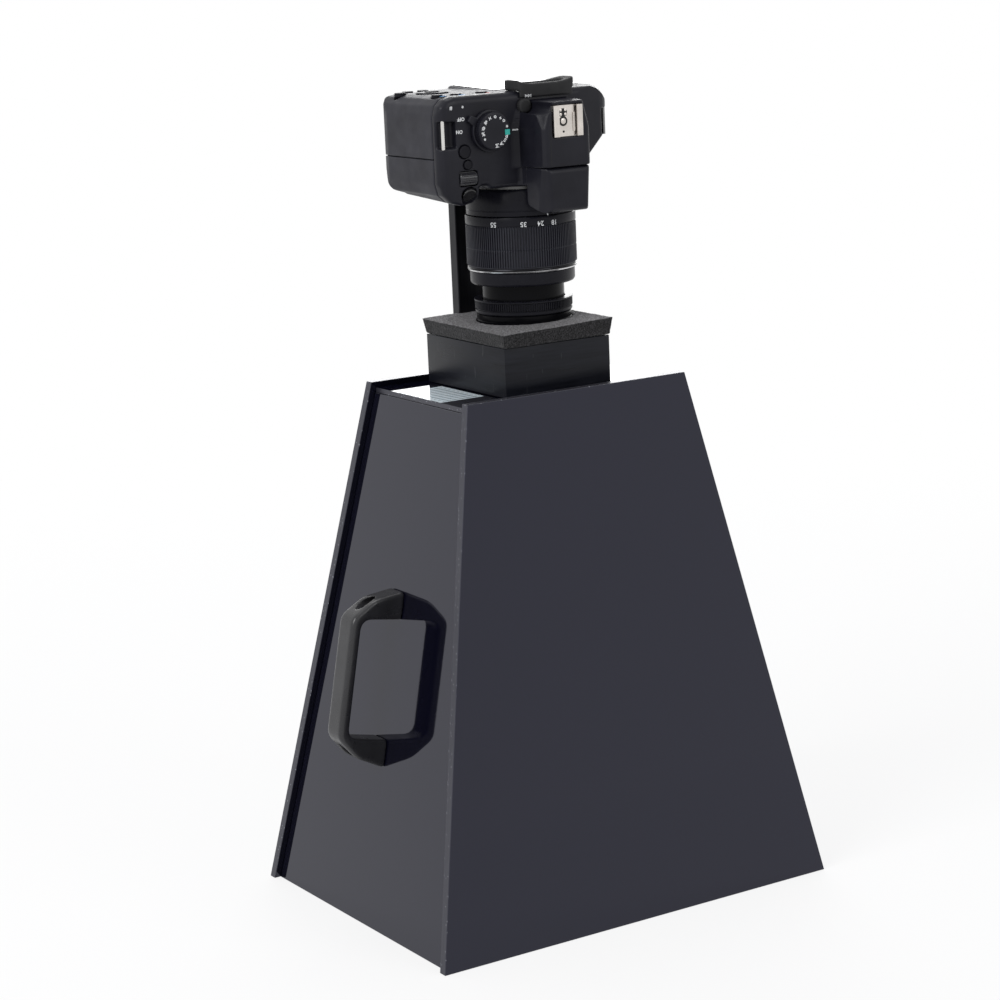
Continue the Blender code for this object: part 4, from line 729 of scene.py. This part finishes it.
def tinted_glass(name, colour, roughness, ior):
    """Glass of one colour with a thin coating that glints violet."""
    material, tree, shader = new_finish(name)
    pale = tuple(min(1.0, part * 1.15) for part in colour[:3]) + (1.0,)
    tree.links.new(blended(tree, grain(tree, 40.0), colour, pale), shader.inputs["Base Color"])
    shader.inputs["Transmission Weight"].default_value = 1.0
    shader.inputs["IOR"].default_value = ior
    tree.links.new(between(tree, grain(tree, 120.0), roughness, roughness + 0.03),
                   shader.inputs["Roughness"])
    shader.inputs["Coat Weight"].default_value = 0.4
    shader.inputs["Coat Tint"].default_value = (0.80, 0.75, 1.0, 1.0)
    return material


dress("filter_glass", tinted_glass("amber_filter_glass", (0.85, 0.30, 0.03, 1.0), 0.01, 1.5))
dress("front_element", tinted_glass("coated_lens_glass", (0.60, 0.62, 0.75, 1.0), 0.01, 1.52))

# Numbers of the zoom ring and the index line of the barrel, filled with white paint.
# They are read with the camera upright, so they stand on their heads here.
NUMBER_SIZE = 0.0042
NUMBER_HEIGHT = 0.4270
NUMBER_BOLD = 0.00006
INDEX_SIZE = 0.0040
INDEX_HEIGHT = 0.4331
INDEX_BOLD = 0.00016
INDEX_TURN = 29.3
INK_THICKNESS = 0.00008
VIEW_AZIMUTH = math.atan2(VIEW_BACK.y, VIEW_BACK.x)


def paint(name, dark, pale, roughness=0.40):
    """Matt paint filled into a mark, a little uneven."""
    material, tree, shader = new_finish(name)
    tree.links.new(blended(tree, grain(tree, 1500.0), dark, pale), shader.inputs["Base Color"])
    tree.links.new(between(tree, grain(tree, 900.0), roughness, roughness + 0.15),
                   shader.inputs["Roughness"])
    return material


paint_white = paint("filled_white_paint", (0.62, 0.63, 0.64, 1.0), (0.78, 0.79, 0.80, 1.0), 0.45)


def lettering(words, size, bold=0.0):
    """Flat mesh of a few characters, centred on the origin in its XY plane."""
    bpy.ops.object.select_all(action="DESELECT")
    bpy.ops.object.text_add()
    text = bpy.context.active_object
    text.data.body = words
    text.data.size = size
    text.data.align_x = "CENTER"
    text.data.align_y = "CENTER"
    text.data.extrude = INK_THICKNESS
    text.data.offset = bold
    text.data.resolution_u = 3
    bpy.ops.object.convert(target="MESH")
    return bpy.context.active_object


def wrapped(piece, radius, angle, height):
    """Bend flat lettering round the lens axis, upside down and facing out at the angle."""
    for vert in piece.data.vertices:
        turn = angle - vert.co.x / radius
        out = radius + vert.co.z
        vert.co = (LENS_X + out * math.cos(turn), LENS_Y + out * math.sin(turn), height - vert.co.y)
    settle(piece)
    return piece


for number, degrees in (("55", -29.7), ("35", 2.3), ("24", 20.3), ("18", 36.2)):
    mark = wrapped(lettering(number, NUMBER_SIZE, NUMBER_BOLD), GRIP_OUTER + LAID_ABOVE,
                   VIEW_AZIMUTH + math.radians(degrees), NUMBER_HEIGHT)
    finished(mark, "zoom_number_" + number, paint_white, "zoom")
index_line = wrapped(lettering("I", INDEX_SIZE, INDEX_BOLD), BARREL_RADIUS + LAID_ABOVE,
                     VIEW_AZIMUTH + math.radians(INDEX_TURN), INDEX_HEIGHT)
finished(index_line, "zoom_index_line", paint_white, "stand")

# Camera body: front shell, back shell and top cover are mouldings of black plastic, which meet at
# two seams and are screwed together from inside. The two shells have a coarser grain.
CAMERA_PLACE = Vector((LENS_X, LENS_Y, 0.4501))
DECK_Y = -0.0310
ROOF_Y = -0.0565
MOULDED_DARK = (0.007, 0.007, 0.011, 1.0)
MOULDED_PALE = (0.012, 0.012, 0.017, 1.0)
SKIN_DARK = (0.014, 0.014, 0.019, 1.0)
SKIN_PALE = (0.024, 0.024, 0.031, 1.0)
camera_plastic = moulding("camera_plastic", MOULDED_DARK, MOULDED_PALE, 0.36, 2400.0, 0.00003, 0.17)
grip_skin = moulding("grained_grip_skin", SKIN_DARK, SKIN_PALE, 0.46, 1500.0, 0.00008, 0.20)
END_CORNER = (0.0236, 0.0105)
END_CORNER_RADIUS = 0.013
END_CORNER_WIDENED = 0.008
END_CORNER_FROM = -0.068
END_CORNER_TO = -0.056
FAR_CORNER = (0.0415, 0.0415)
FAR_CORNER_RADIUS = 0.0155
FAR_CORNER_SLANT = 0.64
FAR_SLANT_FROM = -0.0150
FLANK = 0.0170
FLANK_FOOT = 0.030
FLANK_FROM = -0.0313
FLANK_SHARE = 0.25
GLASS_LOW = 0.05705
GLASS_RISE = 0.00175
GLASS_NEAR = -0.0085
GLASS_FAR = 0.0425
GLASS_LEFT = -0.026


def eased(amount, low, high):
    """Smooth step from 0 at low to 1 at high."""
    share = min(1.0, max(0.0, (amount - low) / (high - low)))
    return share * share * (3 - 2 * share)


def drawn_in(point, across, up, centre, radius):
    """Pull a point on to a round corner where it stands out of it."""
    arm = Vector((point[across] - centre[0], point[up] - centre[1]))
    if arm.length > radius:
        arm *= radius / arm.length
        point[across] = centre[0] + arm.x
        point[up] = centre[1] + arm.y


def reshaped(piece, change):
    """Hand every point of a piece, in the camera's own measures, to a function that moves it."""
    for vert in piece.data.vertices:
        point = vert.co - CAMERA_PLACE
        change(point)
        vert.co = point + CAMERA_PLACE
    piece.data.update()


def grip_end(point):
    """Round off the base corner of the grip end."""
    if point.x < END_CORNER_TO and point.y > END_CORNER[0] and point.z < END_CORNER[1]:
        widened = END_CORNER_WIDENED * eased(point.x, END_CORNER_FROM, END_CORNER_TO)
        drawn_in(point, 1, 2, END_CORNER, END_CORNER_RADIUS + widened)


def far_corner(point):
    """Round off the rear corner of the far shoulder, and slant it towards the top plate."""
    centre_x = FAR_CORNER[0] - FAR_CORNER_SLANT * max(0.0, FAR_SLANT_FROM - point.y)
    if point.x > centre_x and point.z > FAR_CORNER[1]:
        drawn_in(point, 0, 2, (centre_x, FAR_CORNER[1]), FAR_CORNER_RADIUS)


def screen_bed(point):
    """Let the screen's frame rise from its near edge to its far edge."""
    far_corner(point)
    if point.z > GLASS_LOW and point.x > GLASS_LEFT:
        share = min(1.0, max(0.0, (point.y - GLASS_NEAR) / (GLASS_FAR - GLASS_NEAR)))
        point.z = GLASS_LOW + (point.z - GLASS_LOW) * share


def narrow_flanks(point):
    """Steepen the flanks of the prism housing above the top plate."""
    far_corner(point)
    if point.y < FLANK_FROM and FLANK < abs(point.x) < FLANK_FOOT:
        point.x = math.copysign(FLANK + (abs(point.x) - FLANK) * FLANK_SHARE, point.x)


reshaped(softened("front_shell", "front_moulding", grip_skin, "stand", 0.0008, 4), grip_end)
reshaped(softened("back_shell", "back_moulding", grip_skin, "stand", 0.0008, 4), screen_bed)
reshaped(softened("top_cover", "top_moulding", camera_plastic, "stand", 0.00055, 12),
         narrow_flanks)
reshaped(softened("flash_head", "flash_head_moulding", camera_plastic, "flash_head_body",
                  0.0005, 14), narrow_flanks)
dress("battery_door", grip_skin)
dress("terminal_cover", rubber)


def on_camera(x, y, z, out=(0, -1, 0), up=(0, 0, 1)):
    """Place on the camera, in metres from the lens axis and the front face: local Z points out."""
    out = Vector(out).normalized()
    across = Vector(up).cross(out).normalized()
    turn = Matrix((across, out.cross(across), out)).transposed().to_4x4()
    return Matrix.Translation(CAMERA_PLACE + Vector((x, y, z))) @ turn


# Mode dial on its lever: a ribbed knob with a sunk face, filled with white signs, one of them on a
# blue-green square. The lever below it is the power switch and has a ribbed thumb piece.
DIAL_X = -0.0400
DIAL_Z = 0.0352
DIAL_FACE = 0.0075
DIAL_RIBS = 60
SIGN_RADIUS = 0.0086
SIGN_SIZE = 0.0033
dial_place = on_camera(DIAL_X, DECK_Y, DIAL_Z)
ribbed_ring("mode_dial_knob", DIAL_RIBS, [
    (0.0028, 0.0106, 0.0106), (0.0031, 0.0112, 0.0109), (0.0066, 0.0112, 0.0109),
    (0.0071, 0.0109, 0.0108), (0.0074, 0.0104, 0.0104), (0.0075, 0.0100, 0.0100), (0.0074, 0.0097, 0.0097)],
    0, camera_plastic, "mode_dial_body", ["mode_dial"], dial_place)
softened("power_lever", "power_lever_moulding", camera_plastic, "power_lever_body",
         0.0003, 5)


def printed(signs, place, name, material, body, bold=0.00004):
    """Signs (words, size, x, y, turn in degrees) laid on a flat place and joined into one piece."""
    laid = []
    for words, size, x, y, degrees in signs:
        sign = lettering(words, size, bold)
        turned_over = Matrix.Rotation(math.radians(degrees), 4, "Z")
        sign.matrix_world = place @ Matrix.Translation((x, y, 0)) @ turned_over
        settle(sign)
        laid.append(sign)
    bpy.ops.object.select_all(action="DESELECT")
    for sign in laid:
        sign.select_set(True)
    bpy.context.view_layer.objects.active = laid[0]
    if len(laid) > 1:
        bpy.ops.object.join()
    finished(bpy.context.view_layer.objects.active, name, material, body)


dial_signs = []
for words, degrees in (("P", -21), ("S", -40), ("A", -62), ("M", -83), ("*", -146), ("%", -172), ("#", 164),
                       ("&", 139), ("x", 112), ("o", 87), ("+", 64), ("o", 42), ("*", 21)):
    angle = math.radians(degrees)
    dial_signs.append((words, SIGN_SIZE, SIGN_RADIUS * math.cos(angle), SIGN_RADIUS * math.sin(angle),
                       180 + degrees))
face_place = on_camera(DIAL_X, DECK_Y - DIAL_FACE, DIAL_Z)
printed(dial_signs, face_place, "mode_dial_signs", paint_white, "mode_dial_body", 0.00008)
blue_green = paint("blue_green_paint", (0.015, 0.33, 0.28, 1.0), (0.02, 0.42, 0.36, 1.0))
flat_mark("mode_dial_square", face_place, SIGN_RADIUS - 0.0001, -0.0010, 0.0034, 0.0032, blue_green,
          "mode_dial_body", "body_plastic")

# Signs of the top cover, filled with white paint: the index of the dial and the words and small
# signs of the switch. They are read from behind the camera, so they stand on their heads here.
deck_place = on_camera(0, DECK_Y, 0)
DIOPTRE_SIGN_Y = -0.03305
printed([("ON", 0.0029, -0.0607, 0.0361, 180), ("OFF", 0.0029, -0.0592, 0.0435, 180),
         ("#", 0.0030, -0.0658, 0.0503, 180), ("*", 0.0034, -0.0576, 0.0513, 180)],
        deck_place, "switch_signs", paint_white, "stand", 0.00008)
flat_mark("dial_index", deck_place, -0.0214, 0.0345, 0.0040, 0.0009, paint_white, "stand", "body_plastic",
          0.0002, 0.0006)
printed([("I-0+I", 0.0024, -0.0122, 0.0543, 180)], on_camera(0, DIOPTRE_SIGN_Y, 0), "dioptre_signs",
        paint_white, "stand", 0.00006)

# Dioptre knob: a small ribbed wheel of dark plastic beside the finder, which sets its sharpness.
# It stands on its axle in the top cover.
DIOPTRE_RIBS = 26
ribbed_ring("dioptre_wheel", DIOPTRE_RIBS, [
    (0.0002, 0.0040, 0.0040), (0.0004, 0.0046, 0.0043), (0.0022, 0.0046, 0.0043), (0.0030, 0.0043, 0.0041),
    (0.0034, 0.0036, 0.0036), (0.0035, 0.0030, 0.0030)],
    0, rubber, "dioptre_knob_body", ["dioptre_knob"], on_camera(-0.0150, DECK_Y, 0.0484))

# Main dial behind the shutter button: a ribbed plastic wheel with its axle across the body,
# sunk in a well of the top cover so that little more than its ribs stands out.
WHEEL_X = -0.0552
WHEEL_Z = 0.0079
WHEEL_WIDTH = 0.0120
WHEEL_DEPTH = 0.0029
WHEEL_RIBS = 22
# Painted light: the wheel is of the body's black plastic, but gets a copy of it about three times as pale,
# for the light its ribs catch.
wheel_painted_light_plastic = moulding("dial_wheel_painted_light", (0.020, 0.020, 0.025, 1.0), (0.034, 0.034, 0.040, 1.0), 0.26,
                         1800.0, 0.00002, 0.50)
ribbed_ring("main_dial_wheel", WHEEL_RIBS, [
    (-WHEEL_WIDTH / 2, 0.0034, 0.0034), (-WHEEL_WIDTH / 2 + 0.0004, 0.0039, 0.0035),
    (-WHEEL_WIDTH / 2 + 0.0008, 0.0041, 0.0036), (WHEEL_WIDTH / 2 - 0.0008, 0.0041, 0.0036),
    (WHEEL_WIDTH / 2 - 0.0004, 0.0039, 0.0035), (WHEEL_WIDTH / 2, 0.0034, 0.0034)],
    0, wheel_painted_light_plastic, "main_dial_body", ["main_dial"],
    on_camera(WHEEL_X, DECK_Y + WHEEL_DEPTH, WHEEL_Z, (1, 0, 0)))

# Buttons: moulded caps with soft edges and slightly hollow or domed faces, each in its own well.
# The shutter button is polished, the others are matt.
button_plastic = moulding("button_plastic", (0.006, 0.006, 0.009, 1.0), (0.011, 0.011, 0.014, 1.0), 0.44,
                          1800.0, 0.00003, 0.10)
shutter_gloss = moulding("polished_button", (0.006, 0.006, 0.007, 1.0), (0.010, 0.010, 0.011, 1.0), 0.12,
                         900.0, 0.00001, 0.50)
CAP_ROOM = 0.0012
LEAST_KEPT = 0.4
SHUTTER_TILT = math.radians(38)
DECK_BUTTONS = ("flash_button", "iso_button")


def cut_short(cap, out):
    """Shorten the hidden foot of a button, so that it has room in its well when it is pressed."""
    out = Vector(out)
    heights = [vert.co.dot(out) for vert in cap.data.vertices]
    top, foot = max(heights), min(heights)
    kept = max(LEAST_KEPT, 1.0 - CAP_ROOM / (top - foot))
    for vert in cap.data.vertices:
        vert.co += out * (top - vert.co.dot(out)) * (1.0 - kept)
    cap.data.update()


for name in ("flash_button", "iso_button", "live_view_button", "zoom_out_button", "zoom_in_button",
             "playback_button", "menu_button", "delete_button", "cross_keys", "set_button"):
    cut_short(softened(name, name + "_cap", button_plastic, name + "_body", 0.0002, 5),
              (0, -1, 0) if name in DECK_BUTTONS else (0, 0, 1))
cut_short(softened("lens_release_button", "lens_release_cap", button_plastic, "lens_release_button_body",
                   0.0002, 5), (0, 0, -1))
cut_short(softened("shutter_button", "shutter_cap", shutter_gloss, "shutter_button_body",
                   0.0002, 6), (0, -math.cos(SHUTTER_TILT), -math.sin(SHUTTER_TILT)))

# Signs on the back of the body beside the buttons: two blue ones, a white bar and a red dot, each
# a thin patch of paint.
BACK_Z = 0.05702
back_place = on_camera(0, 0, BACK_Z, (0, 0, 1), (0, -1, 0))
sign_blue = paint("blue_sign_paint", (0.03, 0.22, 0.55, 1.0), (0.05, 0.30, 0.65, 1.0))
sign_red = paint("red_sign_paint", (0.55, 0.03, 0.02, 1.0), (0.65, 0.05, 0.03, 1.0))
for name, x, y, width, height, finish in (
        ("zoom_in_sign", 0.0640, 0.0200, 0.0040, 0.0026, sign_blue),
        ("zoom_out_sign", 0.0520, 0.0220, 0.0044, 0.0026, sign_blue),
        ("record_sign", 0.0340, 0.0225, 0.0026, 0.0026, sign_red),
        ("view_sign", 0.0400, 0.0150, 0.0040, 0.0010, paint_white)):
    flat_mark(name, back_place, x, y, width, height, finish, "stand", "body_plastic", 0.0008)

# Eyecup: a soft rubber frame round the finder, saddle-shaped along its rear edge, with a skirt
# that grips the edge of the housing.
eyecup = softened("eyecup", "rubber_eyecup", rubber, "stand", 0.0004, 5)
EYECUP_HALF = 0.0222
EYECUP_LEFT_FROM = 0.0080
EYECUP_LEFT_SHARE = 0.22
EYECUP_LOW = CAMERA_PLACE.z + 0.0573
SADDLE_MIDDLE = 0.0040
SADDLE_END = 0.0068
for vert in eyecup.data.vertices:
    if vert.co.z > EYECUP_LOW:
        share = min(1.0, abs(vert.co.x - CAMERA_PLACE.x) / EYECUP_HALF)
        lowered = (SADDLE_MIDDLE + (SADDLE_END - SADDLE_MIDDLE) * share ** 4) / SADDLE_END
        vert.co.z = EYECUP_LOW + (vert.co.z - EYECUP_LOW) * lowered
    beyond = CAMERA_PLACE.x - EYECUP_LEFT_FROM - vert.co.x
    if beyond > 0:
        vert.co.x += beyond * EYECUP_LEFT_SHARE

# Hot shoe: a nickel-plated plate with two rails and a leaf spring, and five round contacts that
# are set in black insulation. The strap bars at the body's ends are of steel.
nickel = bright_metal("nickel_plated_shoe", (0.64, 0.60, 0.56, 1.0), 0.30, (6.0, 1.0, 1.0), 260.0)
dress("hot_shoe", nickel)
strap_steel = bright_metal("polished_strap_bar", (0.70, 0.69, 0.67, 1.0), 0.14, (1.0, 1.0, 4.0))
dress("left_strap_lug", strap_steel)
# Painted shade: the right strap bar gets a much darker copy of the steel, for the shade of its pocket.
dress("right_strap_lug", bright_metal("strap_bar_painted_shade", (0.22, 0.22, 0.22, 1.0), 0.30, (1.0, 1.0, 4.0)))
insulation = moulding("contact_insulation", (0.004, 0.004, 0.004, 1.0), (0.007, 0.007, 0.007, 1.0), 0.5,
                      900.0, 0.00002, 0.3)
SHOE_FLOOR = 0.0012
CONTACT_X = -0.0024
CENTRE_Z = 0.0391
CORNER_PITCH = 0.0017
CORNER_ROWS = (0.0458, 0.0432)
shoe_place = on_camera(0, ROOF_Y + SHOE_FLOOR, 0)


def small_cap(name, place, x, y, radius, height, material, body):
    """Round cap with a broken edge, standing on a flat place."""
    bpy.ops.object.select_all(action="DESELECT")
    bpy.ops.mesh.primitive_cylinder_add(vertices=32, radius=radius, depth=height,
                                        location=(0, 0, height / 2))
    cap = bpy.context.active_object
    bevel = cap.modifiers.new("Bevel", "BEVEL")
    bevel.width = min(radius, height) * 0.35
    bevel.segments = 2
    apply_modifiers(cap)
    bpy.ops.object.shade_smooth_by_angle(angle=math.radians(40))
    cap.matrix_world = place @ Matrix.Translation((x, y, LAID_ABOVE))
    settle(cap)
    finished(cap, name, material, body)


for name, radius, height, finish, slot in (
        ("shoe_insulation_ring", 0.0030, 0.00015, insulation, "rubber"),
        ("shoe_centre_contact", 0.0018, 0.0005, nickel, "steel")):
    small_cap(name, shoe_place, CONTACT_X, CENTRE_Z, radius, height, finish, "stand")
flat_mark("shoe_insulation_bar", shoe_place, CONTACT_X, 0.0443, 0.0056, 0.0048, insulation, "stand",
          "rubber", 0.0014, 0.00012)
corners = [(CONTACT_X + side * CORNER_PITCH, z) for z in CORNER_ROWS for side in (-1, 1)]
for number, (x, z) in enumerate(corners, 1):
    small_cap("shoe_contact_%d" % number, shoe_place, x, z, 0.0009, 0.0004, nickel, "stand")
# Painted shade: a thin black disc stands for the shade inside the shoe's lock hole.
small_cap("shoe_lock_hole_painted_shade", shoe_place, -0.0023, 0.0329, 0.0007, 0.0002, insulation, "stand")
flat_mark("shoe_leaf_spring", shoe_place, 0.0052, 0.0385, 0.0016, 0.0115, nickel, "stand", "steel",
          0.0006, 0.0005)
flat_mark("roof_joint", on_camera(0, ROOF_Y, 0), -0.0126, 0.0215, 0.0003, 0.0155, insulation, "stand",
          "rubber", 0.0001, 0.00004)

# Screen: a glossy pane, dark when switched off, glued over its frame, which rises to its far
# edge. The pane follows that rise.
screen_gloss = moulding("dark_screen_pane", (0.004, 0.004, 0.005, 1.0), (0.006, 0.006, 0.007, 1.0), 0.08,
                        300.0, 0.000002, 0.40)
PANE_X = 0.0115
PANE_WIDTH = 0.0630
PANE_HEIGHT = 0.0475
pane_rise = math.atan2(GLASS_RISE, GLASS_FAR - GLASS_NEAR)
pane_place = on_camera(PANE_X, (GLASS_NEAR + GLASS_FAR) / 2, GLASS_LOW + GLASS_RISE / 2,
                       (0, -math.sin(pane_rise), math.cos(pane_rise)), (0, -1, 0))
screen_pane = flat_mark("screen_pane", pane_place, 0, 0, PANE_WIDTH, PANE_HEIGHT, screen_gloss, "stand",
                        "gloss_plastic", 0.0015, 0.0003)
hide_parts("screen_window")
